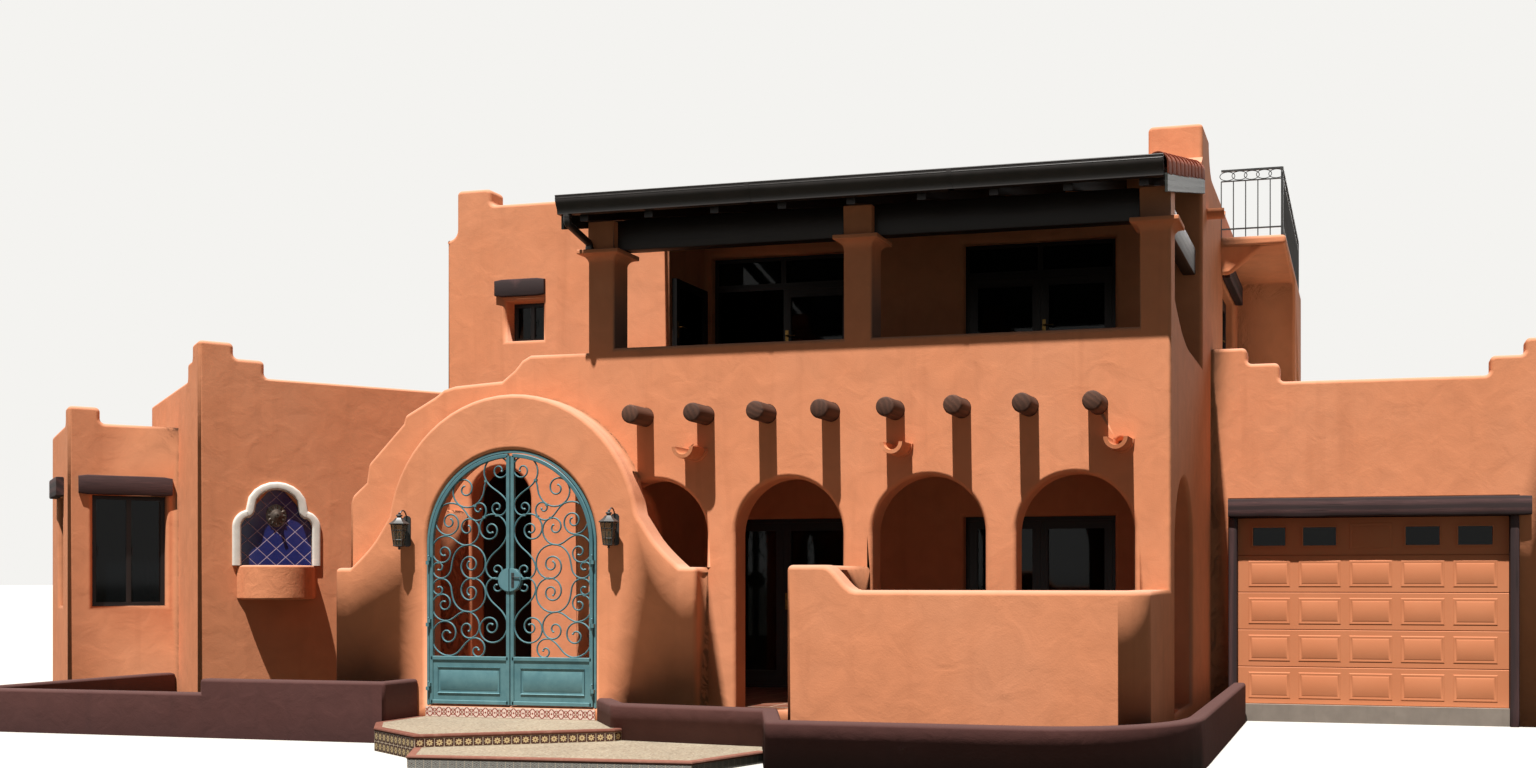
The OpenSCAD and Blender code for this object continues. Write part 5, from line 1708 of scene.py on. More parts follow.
@dataclass
class Coil:
    """A scroll's end, wound inward from its outer end, in millimetres about the arch centre."""

    x: float
    z: float
    radius: float
    start: float
    turns: float

    def points(self, hand: int, steps: int = 26) -> list[Vector]:
        """Return the points from the outer end to the eye.

        Args:
            hand: 1 for anticlockwise, -1 for clockwise.
            steps: Points in a full turn.

        Returns:
            The points, in millimetres.
        """
        count = math.ceil(steps * self.turns)
        line = []
        for i in range(count + 1):
            k = i / count
            angle = math.radians(self.start) + hand * 2 * math.pi * self.turns * k
            reach = self.radius * (1 - 0.82 * math.sin(QUARTER * k))
            line.append(Vector((self.x + reach * math.cos(angle), 0,
                                self.z + reach * math.sin(angle))))
        return line

    def heading(self, hand: int) -> Vector:
        """Return the direction of the winding at the outer end."""
        angle = math.radians(self.start)
        return Vector((-math.sin(angle), 0, math.cos(angle))) * hand


def bend(p: Vector, u: Vector, q: Vector, v: Vector) -> list[Vector]:
    """Return points of the bend that leaves p along u and meets q along v.

    Args:
        p: Start of the bend.
        u: Direction there.
        q: End of the bend.
        v: Direction there.

    Returns:
        The points between both ends.
    """
    k = 0.43 * (q - p).length
    return [s ** 3 * p + 3 * s * s * t * (p + k * u) + 3 * s * t * t * (q - k * v) + t ** 3 * q
            for t, s in ((i / 12, 1 - i / 12) for i in range(1, 12))]


@dataclass
class Gate:
    """Arched pair of wrought-iron leaves, their scrolls, hinges and fixed frame."""

    middle: float = -6.84
    spring: float = 2.02
    leaf_radius: float = 0.95
    frame_radius: float = 0.985
    front: float = -0.272
    thick: float = 0.040
    foot: float = 0.362
    kick: float = 0.862
    bar: float = 0.040
    mirror_z: float = -344
    floor: float = 0.35
    scroll_radius: float = 0.0088
    scrolls_top: tuple = ((Coil(-136, 782, 181, 195, 1.6), Coil(-155, 396, 125, 40, 1.4), -1),
                          (Coil(-722, 246, 210, 60, 2), Coil(-378, 378, 125, 250, 1.3), 1))
    scrolls_middle: tuple = (
        (Coil(-790, -72, 178, 75, 1.6), Coil(-507, 178, 180, 260, 1.45), 1),
        (Coil(-234, 164, 200, -20, 1.9), Coil(-165, -254.5, 128, 165, 1.3), 1),
        (Coil(-842, -231, 140, -10, 1.3), Coil(-470, -204.5, 222, 120, 2), -1))
    scrolls_foot: tuple = ((Coil(-752, -933.5, 225, -80, 1.7),
                            Coil(-400, -1093.5, 135, 115, 1.3), -1),)
    lone: Coil = field(default_factory=lambda: Coil(-535, 582, 224.5, 0, 1.7))
    lone_root: tuple[float, float] = (-290, 690)

    def lines(self) -> list[list[Vector]]:
        """Return the middle lines of a left leaf's scrolls, eye to eye, in metres.

        Returns:
            One list of points for each scroll.
        """
        found = []
        for a, b, hand in self.scrolls_top + self.scrolls_middle + self.scrolls_foot:
            one, two = a.points(hand), b.points(hand)
            found.append(one[::-1] + bend(one[0], -a.heading(hand), two[0], b.heading(hand)) + two)
        first = len(self.scrolls_top)
        for line in found[first:first + len(self.scrolls_middle)]:
            found.append([Vector((p.x, 0, 2 * self.mirror_z - p.z)) for p in line])
        root, end = Vector((self.lone_root[0], 0, self.lone_root[1])), self.lone.points(-1)
        down = Vector((0, 0, -1))
        found.append([root] + bend(root, down, end[0], down) + end)
        return [[p * MM for p in line] for line in found]

    def place(self, side: int) -> Matrix:
        """Return the place of a leaf drawn as the left one, about the arch centre."""
        mirror = Matrix.Diagonal((side, 1, 1, 1))
        return Matrix.Translation((self.middle, self.front, self.spring)) @ mirror

    def frame_bars(self, leaf: Piece, place: Matrix) -> None:
        """Add the leaf's outer bar, meeting stile and rails, as flat bars with eased edges.

        Args:
            leaf: Piece that takes the shapes.
            place: Place of the leaf.
        """
        t, b, e = self.thick, self.bar, 0.004
        r = self.leaf_radius - b / 2
        foot = self.foot - self.spring
        flat = [(b / 2 - e, t / 2), (b / 2, t / 2 - e), (b / 2, -t / 2 + e), (b / 2 - e, -t / 2),
                (-b / 2 + e, -t / 2), (-b / 2, -t / 2 + e), (-b / 2, t / 2 - e),
                (-b / 2 + e, t / 2)]
        arc = [(-r * c, t / 2, r * s) for c, s in arc_of(36, 0, 90) if r * c > 0.03]
        leaf.sweep([(-r, t / 2, foot), *arc, (-0.028, t / 2, math.sqrt(r * r - 0.028 ** 2))],
                   flat, 0, False, place, side=Vector((1, 0, 0)))
        stile = -0.005 - b / 2
        leaf.sweep([(stile, t / 2, foot), (stile, t / 2, r - 0.002)], flat, 0, False, place,
                   side=Vector((1, 0, 0)))
        for z in (foot + b / 2, self.kick - self.spring - b / 2):
            leaf.sweep([(-r, t / 2, z), (stile, t / 2, z)], flat, 0, False, place)

    def kick_panel(self, leaf: Piece, place: Matrix) -> None:
        """Add the sheet of the kick panel with its raised moulding and field.

        Args:
            leaf: Piece that takes the shapes.
            place: Place of the leaf.
        """
        t = self.thick
        z0, z1 = self.foot - self.spring + self.bar, self.kick - self.spring - self.bar
        x0, x1 = -self.leaf_radius + self.bar, -0.045
        leaf.box((x0, 0.3 * t, z0), (x1, 0.7 * t, z1), 0, place)
        edges = (x0 + 0.055, z0 + 0.075, x1 - 0.075, z1 - 0.075)
        section = [(-0.011, 0.0), (-0.007, 0.011), (0.003, 0.009), (0.011, 0.0)]
        for y, side in ((0.3 * t, -1), (0.7 * t, 1)):
            leaf.sweep([(u, y, v) for u, v in frame_of(*edges)],
                       [(u, -v * side) for u, v in section], 0, True, place)
            leaf.solid([[(u, y + side * out, v) for u, v in frame_of(
                edges[0] + inset, edges[1] + inset, edges[2] - inset, edges[3] - inset)]
                        for inset, out in ((0.03, 0.0), (0.045, 0.007))], 0, place)

    def collars(self, leaf: Piece, lines: Sequence[Sequence[Vector]], place: Matrix) -> None:
        """Tie scrolls that touch with small collars, as a smith does.

        Args:
            leaf: Piece that takes the shapes.
            lines: Middle lines of the scrolls.
            place: Place of the leaf.
        """
        reach, apart, placed = 0.017, 0.05, []
        for i, one in enumerate(lines):
            for two in lines[i + 1:]:
                spots = [((a - b).length, (a + b) / 2) for a in one[::2]
                         for b in two[::2] if abs(a.x - b.x) < reach and abs(a.z - b.z) < reach]
                for gap, spot in sorted(spots, key=lambda s: s[0])[:1]:
                    if gap < reach and all((spot - p).length > apart for p in placed):
                        placed.append(spot)
        for spot in placed:
            at = place @ Matrix.Translation((spot.x, self.thick / 2, spot.z))
            leaf.box((-0.016, -0.011, -0.012), (0.016, 0.011, 0.012), 0, at)

    def lock(self, leaf: Piece, place: Matrix, side: int) -> None:
        """Add half of the round lock plate, with the handle on the right leaf.

        Args:
            leaf: Piece that takes the shapes.
            place: Place of the leaf.
            side: 1 for the left leaf, -1 for the right one.
        """
        z = 1.66 - self.spring
        half = [(-0.005 - 0.125 * s, 0.125 * c) for c, s in arc_of(24, 0, 180)]
        for grow, y in ((1.0, -0.010), (0.93, -0.014)):
            leaf.solid([[(-0.005 + (u + 0.005) * grow, y0, z + v * grow) for u, v in half]
                        for y0 in (y, 0.008)], 1, place)
        leaf.solid([[(u, y0, z + v) for u, v in half] for y0 in (0.03, 0.0385)], 1, place)
        if side > 0:
            return
        leaf.box((-0.060, -0.018, z - 0.075), (-0.028, -0.013, z + 0.075), 2, place)
        leaf.tube([(-0.044, -0.014, z + 0.03), (-0.044, -0.022, z + 0.03),
                   (-0.060, -0.023, z + 0.03), (-0.125, -0.022, z + 0.024)], 0.005, 8, 2,
                  place=place)
        leaf.lathe([(0.0, -0.001), (0.006, -0.001), (0.006, 0.001), (0.0, 0.001)], 12, 3,
                   place @ Matrix.Translation((-0.044, -0.0182, z - 0.03))
                   @ Matrix.Rotation(QUARTER, 4, "X"))

    def hinges(self, leaf: Piece, place: Matrix, fixed: bool) -> None:
        """Add the leaf's knuckles or, for the fixed frame, the pins with their ball tips.

        Args:
            leaf: Piece that takes the shapes.
            place: Place of the leaf.
            fixed: True for the pins of the frame.
        """
        for up in (0.180, 0.850, 1.500):
            z = self.foot - self.spring + up
            at = place @ Matrix.Translation((-self.leaf_radius, -0.016, z))
            if fixed:
                leaf.lathe([(0.0, -0.0403), (0.011, -0.0403), (0.011, -0.0005), (0.0055, -0.0005),
                            (0.0055, 0.041), (0.009, 0.043), (0.010, 0.050), (0.006, 0.057),
                            (0.0, 0.060)], 16, 0, at)
                leaf.box((-0.025, -0.010, -0.040), (-0.004, 0.026, -0.001), 0, at)
            else:
                leaf.lathe([(0.0065, 0.0), (0.011, 0.0), (0.011, 0.040), (0.0065, 0.040)], 16, 0,
                           at)
                leaf.box((0.004, -0.010, 0.001), (0.026, 0.018, 0.039), 0, at)

    def build(self) -> None:
        """Build both leaves on their bodies and the frame on the house."""
        lines = self.lines()
        for side, body, node in ((1, LEFT_LEAF, "gate_leaf_left"),
                                 (-1, RIGHT_LEAF, "gate_leaf_right")):
            leaf, place = Piece(node, 51 + side), self.place(side)
            self.frame_bars(leaf, place)
            self.kick_panel(leaf, place)
            for line in lines:
                path = [p + Vector((0, self.thick / 2, 0)) for p in line]
                leaf.tube(path, self.scroll_radius, 8, 0, place=place)
                for eye in (path[0], path[-1]) if len(line) != len(lines[-1]) else (path[-1],):
                    leaf.lathe([(0.0, -0.012), (0.008, -0.009), (0.013, 0.0), (0.008, 0.009),
                                (0.0, 0.012)], 12, 0, place @ Matrix.Translation(eye))
            self.collars(leaf, lines, place)
            self.lock(leaf, place, side)
            self.hinges(leaf, place, False)
            leaf.done(TEAL, TEAL_PLATE, BLACK_IRON, RUBBER, body=body, slot="gate_iron",
                      stands_for=[node], smooth=40)
        frame_piece = Piece("gate_frame", 55)
        r, t = self.frame_radius - 0.0125, 0.050
        flat = [(0.0125, -t / 2), (0.0125, t / 2), (-0.0125, t / 2), (-0.0125, -t / 2)]
        foot = self.floor - self.spring
        for side in (1, -1):
            place = self.place(side)
            arc = [(-r * c, 0.035, r * s) for c, s in arc_of(36, 0, 90)]
            frame_piece.sweep([(-r, 0.035, foot), *arc], flat, 0, False, place,
                              side=Vector((1, 0, 0)))
            self.hinges(frame_piece, place, True)
        frame_piece.done(TEAL, slot="gate_iron", stands_for=["gate_frame"], smooth=40)


@dataclass
class Lanterns:
    """Pair of hexagonal coach lanterns on scrolled brackets."""

    middle: float = -6.84
    spread: float = 1.21
    wall: float = -0.28
    base: float = 1.98

    def build(self) -> None:
        """Build both lanterns."""
        lamp = Piece("wall_lanterns", 61)
        for side in (-1, 1):
            self.lantern(lamp, Matrix.Translation((self.middle + side * self.spread, self.wall,
                                                   self.base)))
        lamp.done(BLACK_IRON, LAMP_GLASS, BULB, slot="lantern_iron",
                  stands_for=["wall_lanterns"], smooth=30)

    def lantern(self, lamp: Piece, wall: Matrix) -> None:
        """Add a lantern: back plate, bracket, cage, glass, cap, finials and hanging ring.

        Args:
            lamp: Piece that takes the shapes.
            wall: Foot of the back plate on the wall.
        """
        turn = math.pi / 6
        plate = [(-0.045, 0.05), (-0.030, 0.034), (0, 0.03), (0.030, 0.034), (0.045, 0.05),
                 (0.045, 0.33), (0.030, 0.350), (0, 0.36), (-0.030, 0.350), (-0.045, 0.33)]
        lamp.solid([[(x, y, z) for x, z in plate] for y in (0.0, -0.010)], 0, wall)
        for z in (0.07, 0.32):
            lamp.lathe([(0.009, 0.0), (0.006, 0.004), (0.0, 0.005)], 10, 0, wall
                       @ Matrix.Translation((0, -0.010, z)) @ Matrix.Rotation(QUARTER, 4, "X"))
        hook = [(0, -0.01, 0.30)] + [(0, -0.07 - 0.06 * c, 0.31 + 0.10 * s)
                                     for c, s in arc_of(12, 0, 180)]
        lamp.tube([p for p in hook if p[1] > -0.131], 0.007, 8, 0, place=wall)
        at = wall @ Matrix.Translation((0, -0.130, 0))
        lamp.lathe([(0.0, -0.005), (0.010, 0.0), (0.014, 0.012), (0.010, 0.022), (0.040, 0.028),
                    (0.060, 0.034), (0.060, 0.044), (0.0, 0.046)], 6, 0, at, turn)
        lamp.lathe([(0.0, 0.258), (0.088, 0.258), (0.100, 0.264), (0.100, 0.270), (0.080, 0.285),
                    (0.055, 0.305), (0.036, 0.330), (0.0, 0.332)], 6, 0, at, turn)
        lamp.lathe([(0.022, 0.330), (0.024, 0.348), (0.034, 0.352), (0.030, 0.362), (0.010, 0.370),
                    (0.012, 0.380), (0.006, 0.388), (0.0, 0.390)], 16, 0, at)
        lower, upper = ring_of(6, 0.055, turn=turn), ring_of(6, 0.082, turn=turn)
        for (x0, y0), (x1, y1) in zip(lower, upper):
            lamp.tube([(x0, y0, 0.042), (x1, y1, 0.262)], 0.0045, 6, 0, place=at)
        for z, k in ((0.10, 0.26), (0.20, 0.72)):
            ring = [(lx + (ux - lx) * k, ly + (uy - ly) * k, z)
                    for (lx, ly), (ux, uy) in zip(lower, upper)]
            lamp.tube(ring, 0.003, 6, 0, True, at)
        glass = [[(x * 0.96, y * 0.96, z) for x, y in ring]
                 for ring, z in ((lower, 0.044), (upper, 0.260))]
        lamp.solid(glass, 1, at)
        lamp.lathe([(0.012, 0.048), (0.012, 0.13), (0.0, 0.131)], 12, 2, at)
        lamp.lathe([(0.0, 0.131), (0.012, 0.145), (0.010, 0.165), (0.0, 0.185)], 12, 2, at)


# Steps, planters and niche

@dataclass
class Steps:
    """Landing and broad lower step: washed aggregate, clay nosings and painted tile risers."""

    landing: tuple = ((-7.905, -0.28), (-7.905, -0.95), (-7.58, -1.40), (-6.76, -1.92),
                      (-5.2388, -1.0043), (-5.2188, -0.9143), (-5.3353, -0.9003), (-5.8403, -0.28))
    lower: tuple = ((-5.2388, -1.0043), (-6.76, -1.9203), (-6.44, -2.453), (-3.8063, -2.2653),
                    (-3.5263, -1.4153), (-3.6703, -1.1003), (-5.2188, -0.9143))
    landing_top: float = 0.227
    lower_top: float = 0.11
    tile: float = 8 * MM

    def strip(self, piece: Piece, path: Sequence[Point], z0: float, z1: float, part: int,
              rows: float = 1.0) -> None:
        """Lay tiles along a path on its left side, whole in height and counted in tiles.

        Args:
            piece: Piece that takes the shapes.
            path: Points along the riser.
            z0, z1: Foot and top of the tiles.
            part: Material number.
            rows: Rows of tiles in that height.
        """
        side, run = (z1 - z0) / rows, 0.0
        for p, q in zip(path, path[1:]):
            a, b = Vector((p[0], p[1], 0)), Vector((q[0], q[1], 0))
            long = (b - a).length
            count = max(1, round(long / side))
            out = Vector(((b - a).y, -(b - a).x, 0)).normalized() * self.tile
            corners = [(a + out, 0, z0), (b + out, count, z0), (b + out, count, z1),
                       (a + out, 0, z1)]
            front = [(v.x, v.y, z) for v, _, z in corners]
            rear = [(v.x - out.x, v.y - out.y, z) for v, _, z in corners]
            verts = piece.solid([front, rear], part)
            for vert, (_, u, z) in zip(verts, corners * 2):
                vert[piece.tile] = (u + run, (z - z0) / side, 0)
            run += count

    def nosing(self, piece: Piece, path: Sequence[Point], top: float) -> None:
        """Run a rounded clay nosing along a path, flush with the step's top."""
        piece.sweep([(x, y, top - 0.016) for x, y in path],
                    [(-0.060, -0.016), (-0.060, 0.0165), (0.004, 0.0165), (0.012, 0.011),
                     (0.016, 0.0), (0.012, -0.011), (0.004, -0.016)], 1)

    def build(self) -> None:
        """Build both steps and the tiled riser under the gate."""
        steps = Piece("entry_steps", 71)
        steps.prism(self.landing, 0.0, self.landing_top - 0.001)
        steps.prism(self.lower, 0.0, self.lower_top - 0.001)
        front = self.landing[:6]
        self.nosing(steps, front, self.landing_top)
        self.nosing(steps, self.lower[1:5], self.lower_top)
        self.strip(steps, front[:4], 0.0, self.landing_top - 0.033, 3, 2.0)
        self.strip(steps, front[3:6], self.lower_top, self.landing_top - 0.033, 3)
        self.strip(steps, self.lower[1:5], 0.0, self.lower_top - 0.033, 4)
        self.strip(steps, [(-7.825, -0.28), (-5.855, -0.28)], self.landing_top, 0.335, 2)
        steps.done(AGGREGATE, NOSING, LATTICE_TILE, ROSETTE_TILE, ZIGZAG_TILE, slot="step_stone",
                   stands_for=["entry_steps"], smooth=25)


@dataclass
class Planters:
    """Low stuccoed planters, each one coat from end to end."""

    def build(self) -> None:
        """Build both planters."""
        for node in ("planter_left", "planter_right"):
            StuccoShell(node, (node,), edge=34 * MM, slot="planter_stucco").build(WINE)


@dataclass
class Niche:
    """Wall fountain of the wing: tiled panel, cream surround, basin, bronze mask and water."""

    along: float = 0.86
    ledge: float = 1.84
    half: float = 0.40
    shoulder: float = 0.70
    crown: float = 0.94
    recess: float = 0.06

    def outline(self, grow: float) -> list[tuple[float, float]]:
        """Return the panel's outline, grown on every side, anticlockwise from the ledge.

        Args:
            grow: Distance outward.

        Returns:
            The points across and up.
        """
        w, low, top = self.half, self.shoulder, self.crown
        points = [(-w, 0.0), (w, 0.0), (w, low - 0.23)]
        for x, z, r, a0, a1 in (
                (w - 0.13, low - 0.23, 0.13, 0, 62), (w - 0.03, low - 0.01, 0.12, 245, 190),
                (0.0, top - 0.26, 0.26, 30, 150), (-w + 0.03, low - 0.01, 0.12, -10, -65),
                (-w + 0.13, low - 0.23, 0.13, 118, 180)):
            points += [(x + r * c, z + r * s) for c, s in arc_of(8, a0, a1)]
        grown, count = [], len(points)
        for i, (x, z) in enumerate(points):
            (x0, z0), (x1, z1) = points[i - 1], points[(i + 1) % count]
            out = Vector((z1 - z0, x0 - x1)).normalized() * grow
            grown.append((x + out.x, 0.0 if i < 2 else z + out.y))
        return [(-w - grow, 0.0), (w + grow, 0.0), *grown[2:]]

    def build(self) -> None:
        """Build panel, surround, basin, mask and water."""
        place = StuccoWork().wing_place() @ Matrix.Translation((self.along, 0, self.ledge))
        panel = Piece("niche_tiles", 81)
        shape = self.outline(-0.0005)
        verts = panel.solid([[(x, y, z) for x, z in shape]
                             for y in (self.recess - 0.012, self.recess)], 0)
        for vert in verts:
            vert[panel.tile] = ((vert.co.x + vert.co.z) / 0.212,
                                (vert.co.z - vert.co.x) / 0.212, 0)
        bmesh.ops.transform(panel.bm, matrix=place, verts=verts)
        panel.done(NICHE_TILE, slot="niche_plaster")
        ring = Piece("niche_surround", 82)
        profile = ((0.0, 0.03), (0.0, -0.022), (0.008, -0.031), (0.022, -0.035), (0.070, -0.035),
                   (0.086, -0.031), (0.096, -0.020), (0.096, 0.0))
        ring.solid([[(x, y, z) for x, z in self.outline(g)] for g, y in profile], 0, place, True)
        ring.done(CREAM, slot="niche_plaster", stands_for=["niche_surround"], smooth=50)
        StuccoShell("fountain_basin", ("fountain_basin",), edge=26 * MM,
                    place=StuccoWork().wing_place()).build(BASIN_STUCCO)
        mask = Piece("fountain_mask", 83)
        at = place @ Matrix.Translation((0, self.recess - 0.012, 0.62)) @ Matrix.Rotation(
            QUARTER, 4, "X") @ Matrix.Diagonal((1.25, 1.5, 1.0, 1.0))
        mask.lathe([(0.0, 0.0), (0.093, 0.0), (0.095, 0.006), (0.088, 0.014), (0.078, 0.012),
                    (0.066, 0.018), (0.050, 0.030), (0.0, 0.036)], 32, 0, at)
        for i in range(12):
            a = 2 * math.pi * i / 12
            petal = at @ Matrix.Rotation(a, 4, "Z") @ Matrix.Translation((0.062, 0, 0.014))
            mask.solid([[(x, y * k, z) for x, y in ring_of(10, 0.022, 0.013)]
                for k, z in ((1, 0.0), (0.9, 0.006), (0.5, 0.011), (0.1, 0.012))], 0, petal)
        mask.lathe([(0.0, 0.03), (0.030, 0.030), (0.034, 0.036), (0.024, 0.042), (0.016, 0.046),
                    (0.014, 0.082), (0.018, 0.086), (0.010, 0.088), (0.009, 0.070), (0.0, 0.068)],
                   20, 0, at)
        mask.done(BRONZE, slot="mask_bronze", stands_for=["fountain_mask"], smooth=45)
        water = Piece("basin_water", 84)
        arc = [(0.309 * c, -0.061 + 0.309 * s) for c, s in arc_of(20, 0, -180)]
        water.prism(arc, -0.075, -0.055, 0, place)
        water.done(WATER, slot="niche_plaster")


# Garage door, railing and floors

@dataclass
class GarageDoor:
    """Sectional steel door with pressed panels and four small windows in the top section."""

    left: float = 0.31
    wide: float = 3.06
    floor: float = 0.20
    high: float = 2.19
    front: float = 3.67
    rows: int = 5
    columns: int = 5

    def panel(self, door: Piece, x: float, z: float, w: float, h: float) -> None:
        """Add one pressed panel: a sunk border round a raised field.

        Args:
            door: Piece that takes the shapes.
            x, z: Its middle.
            w, h: Its width and height.
        """
        rings = []
        for inset, y in ((0.0, 0.004), (0.0, -0.0005), (0.010, -0.005), (0.014, -0.005),
                         (0.034, -0.001), (0.050, -0.006)):
            u, v = w / 2 - inset, h / 2 - inset
            rings.append([(a, y, b) for a, b in frame_of(x - u, z - v, x + u, z + v)])
        door.solid(rings, 0, Matrix.Translation((0, self.front, 0)))

    def window(self, door: Piece, x: float, z: float, w: float, h: float) -> None:
        """Add one window: moulded frame and glass.

        Args:
            door: Piece that takes the shapes.
            x, z: Its middle.
            w, h: Its width and height.
        """
        at = Matrix.Translation((x, self.front, z))
        ring = frame_of(-w / 2, -h / 2, w / 2, h / 2)
        door.sweep([(u, 0, v) for u, v in ring],
                   [(0.018, 0.0), (0.014, 0.013), (-0.006, 0.013), (-0.012, 0.0)], 0, True, at)
        door.box((-w / 2, 0.018, -h / 2), (w / 2, 0.024, h / 2), 1, at)

    def build(self) -> None:
        """Build the sections with panels and windows, and the seal."""
        door = Piece("garage_door", 91)
        step, row = 0.19 * self.wide, self.high / self.rows
        w, h, pane = 0.16 * self.wide, 0.71 * row, (0.132 * self.wide, 0.55 * row)
        for r in range(self.rows):
            z0, z1 = self.floor + r * row + 0.002, self.floor + (r + 1) * row - 0.002
            section = [(0.0, z0 + 0.006), (0.005, z0), (0.045, z0), (0.045, z1), (0.005, z1),
                       (0.0, z1 - 0.006)]
            if r == self.rows - 1:
                self.top_section(door, z0, z1, step, pane)
            else:
                door.solid([[(x, self.front + y, z) for y, z in section]
                            for x in (self.left + 0.002, self.left + self.wide - 0.002)])
            for c in range(self.columns):
                x = self.left + self.wide / 2 + (c - 2) * step
                if r < self.rows - 1 or c == 2:
                    self.panel(door, x, (z0 + z1) / 2, w, h)
                else:
                    self.window(door, x, (z0 + z1) / 2, *pane)
        door.box((self.left + 0.002, self.front + 0.004, self.floor),
                 (self.left + self.wide - 0.002, self.front + 0.04, self.floor + 0.012), 2)
        door.done(PANEL_PAINT, GLASS, RUBBER, slot="garage_panel", stands_for=["garage_door"],
                  smooth=20)

    def top_section(self, door: Piece, z0: float, z1: float, step: float,
                    pane: tuple[float, float]) -> None:
        """Add the top section in strips round its windows.

        Args:
            door: Piece that takes the shapes.
            z0, z1: Foot and top of the section.
            step: Distance between two windows.
            pane: Width and height of a window.
        """
        middle, mid_z = self.left + self.wide / 2, (z0 + z1) / 2
        y0, y1 = self.front, self.front + 0.045
        lo_z, hi_z = mid_z - pane[1] / 2, mid_z + pane[1] / 2
        door.box((self.left + 0.002, y0, z0), (self.left + self.wide - 0.002, y1, lo_z))
        door.box((self.left + 0.002, y0, hi_z), (self.left + self.wide - 0.002, y1, z1))
        edges = [self.left + 0.002]
        for c in (0, 1, 3, 4):
            x = middle + (c - 2) * step
            edges += [x - pane[0] / 2, x + pane[0] / 2]
        edges.append(self.left + self.wide - 0.002)
        for x0, x1 in zip(edges[::2], edges[1::2]):
            door.box((x0, y0, lo_z), (x1, y1, hi_z))


@dataclass
class Railing:
    """Iron balcony railing with a band of interlaced ovals under the handrail."""

    right: float = 0.78
    front: float = 4.80
    back: float = 8.97
    floor: float = 6.00
    top: float = 6.85

    def build(self) -> None:
        """Build the front and the long side."""
        rail = Piece("balcony_railing", 95)
        half = 0.0125
        f, t = self.front + half, self.top
        side_x = self.right - half
        runs = (((0.002, f), (side_x, f), 5), ((side_x, f), (side_x, self.back), 26))
        for (x0, y0), (x1, y1), bars in runs:
            for z, r in ((t - 0.012, 0.017), (t - 0.145, 0.010), (self.floor + 0.10, 0.012)):
                rail.sweep([(x0, y0, z), (x1, y1, z)], ring_of(4, r, turn=EIGHTH))
            long = math.hypot(x1 - x0, y1 - y0)
            for i in range(bars + 1):
                k = i / bars
                x, y = x0 + (x1 - x0) * k, y0 + (y1 - y0) * k
                rail.tube([(x, y, self.floor), (x, y, t - 0.145)], 0.007, 8)
            ovals = round(long / 0.15)
            for i in range(ovals):
                k = (i + 0.5) / ovals
                x, y = x0 + (x1 - x0) * k, y0 + (y1 - y0) * k
                along = Vector((x1 - x0, y1 - y0, 0)).normalized()
                ring = [Vector((x, y, t - 0.079)) + along * u + UP * v
                        for u, v in ring_of(20, 0.095, 0.055)]
                rail.tube([p + along.cross(UP) * (0.004 if i % 2 else -0.004) for p in ring],
                          0.005, 6, 0, True)
        for x, y in ((side_x, f), (side_x, self.back)):
            rail.box((x - 0.02, y - 0.012, self.floor), (x + 0.012, y + 0.02, t - 0.03))
            rail.lathe([(0.0, 0.0), (0.02, 0.0), (0.012, 0.008), (0.0, 0.026)], 12, 0,
                       Matrix.Translation((x - 0.004, y + 0.004, t - 0.03)))
        rail.done(BLACK_IRON, slot="railing_iron", stands_for=["balcony_railing"], smooth=40)


@dataclass
class Floors:
    """Floors and roof decks, which keep their CAD shape."""

    def build(self) -> None:
        """Dress each slab."""
        dress("floor_slabs", SALTILLO)
        dress("loggia_floor", DARK_TIMBER)
        dress("roof_slabs", SCREED)


# Studio

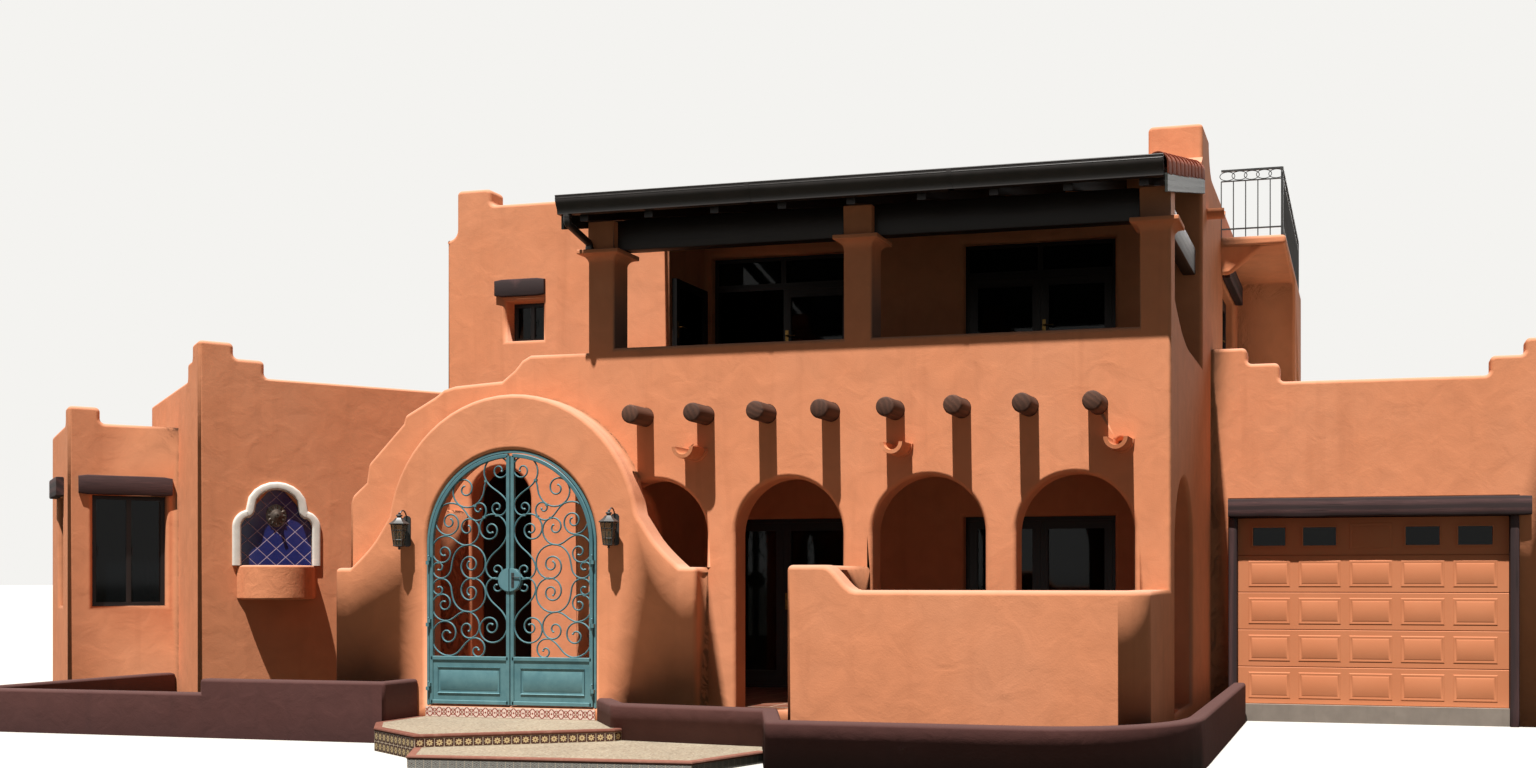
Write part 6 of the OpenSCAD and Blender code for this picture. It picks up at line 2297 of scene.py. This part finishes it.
@dataclass
class Studio:
    """Camera at the photographer's place, a soft sun, a plain sky and a pale floor."""

    eye: tuple[float, float, float] = (1.81, -13.65, 1.66)
    heading: float = 13.5
    lens: float = 33.98
    shift: tuple[float, float] = (-0.164, 0.1276)
    sun_height: float = 70.0
    sun_left: float = 2.5
    sun_strength: float = 8.2
    rear_strength: float = 1.1
    sky_strength: float = 0.10

    def build(self) -> None:
        """Set up the view, the lights and the floor."""
        scene = bpy.context.scene
        scene.view_settings.view_transform = "Standard"
        camera = bpy.data.cameras.new("camera")
        camera.lens = self.lens
        camera.sensor_width = 36
        camera.sensor_fit = "HORIZONTAL"
        camera.shift_x, camera.shift_y = self.shift
        view = bpy.data.objects.new("camera", camera)
        view.location = self.eye
        view.rotation_euler = (QUARTER, 0, math.radians(self.heading))
        scene.collection.objects.link(view)
        scene.camera = view

        for name, energy, soft, tilt, turn in (
                ("sun", self.sun_strength, 0.7, 90 - self.sun_height, -self.sun_left),
                ("rear_fill", self.rear_strength, 30.0, 62.0, 166.0)):
            sun = bpy.data.lights.new(name, "SUN")
            sun.energy = energy
            sun.angle = math.radians(soft)
            sun.color = (1.0, 0.98, 0.95)
            lamp = bpy.data.objects.new(name, sun)
            lamp.rotation_euler = (math.radians(tilt), 0, math.radians(turn))
            scene.collection.objects.link(lamp)

        world = bpy.data.worlds.new("sky")
        world.use_nodes = True
        scene.world = world
        tree = world.node_tree
        tree.nodes.clear()
        add = partial(add_node, tree)
        seen = add("ShaderNodeLightPath", out="Is Camera Ray")
        rays = seen.node.outputs
        for kind in ("Is Glossy Ray", "Is Transmission Ray"):
            seen = add("ShaderNodeMath", {0: seen, 1: rays[kind]}, operation="MAXIMUM")
        shown = add("ShaderNodeBackground", {"Color": "#f4f3f0"})
        light = add("ShaderNodeBackground", {"Color": "#e9eef6", "Strength": self.sky_strength})
        both = add("ShaderNodeMixShader", {0: seen, 1: light, 2: shown})
        add("ShaderNodeOutputWorld", {"Surface": both})

        floor = bpy.data.meshes.new("floor")
        span, middle = 400.0, Vector((-5, 4, -0.001))
        floor.from_pydata([middle + Vector((x, y, 0)) for x, y in
                           ((-span, -span), (span, -span), (span, span), (-span, span))],
                          [], [(0, 1, 2, 3)])
        ground = bpy.data.objects.new("floor", floor)
        paper = bpy.data.materials.new("pale studio floor")
        paper.use_nodes = True
        add = partial(add_node, paper.node_tree)
        seen = add("ShaderNodeLightPath", out="Is Camera Ray")
        tone = add("ShaderNodeMix", {"Factor": seen, "A": "#3e3d36", "B": "#b9b6b0"},
                   data_type="RGBA")
        fill(paper.node_tree.nodes["Principled BSDF"].inputs,
             {"Base Color": tone, "Roughness": 0.9, "Specular IOR Level": 0.1})
        floor.materials.append(paper)
        scene.collection.objects.link(ground)


def main() -> None:
    """Build every sub-assembly in order."""
    logging.basicConfig(level=logging.INFO, format="%(message)s")
    Studio().build()
    for work in (StuccoWork, LoggiaRoof, Eaves, Logs, Drains, Lintels, Doors, Windows, Gate,
                 Lanterns, Steps, Planters, Niche, GarageDoor, Railing, Floors):
        work().build()


if __name__ == "__main__":
    main()
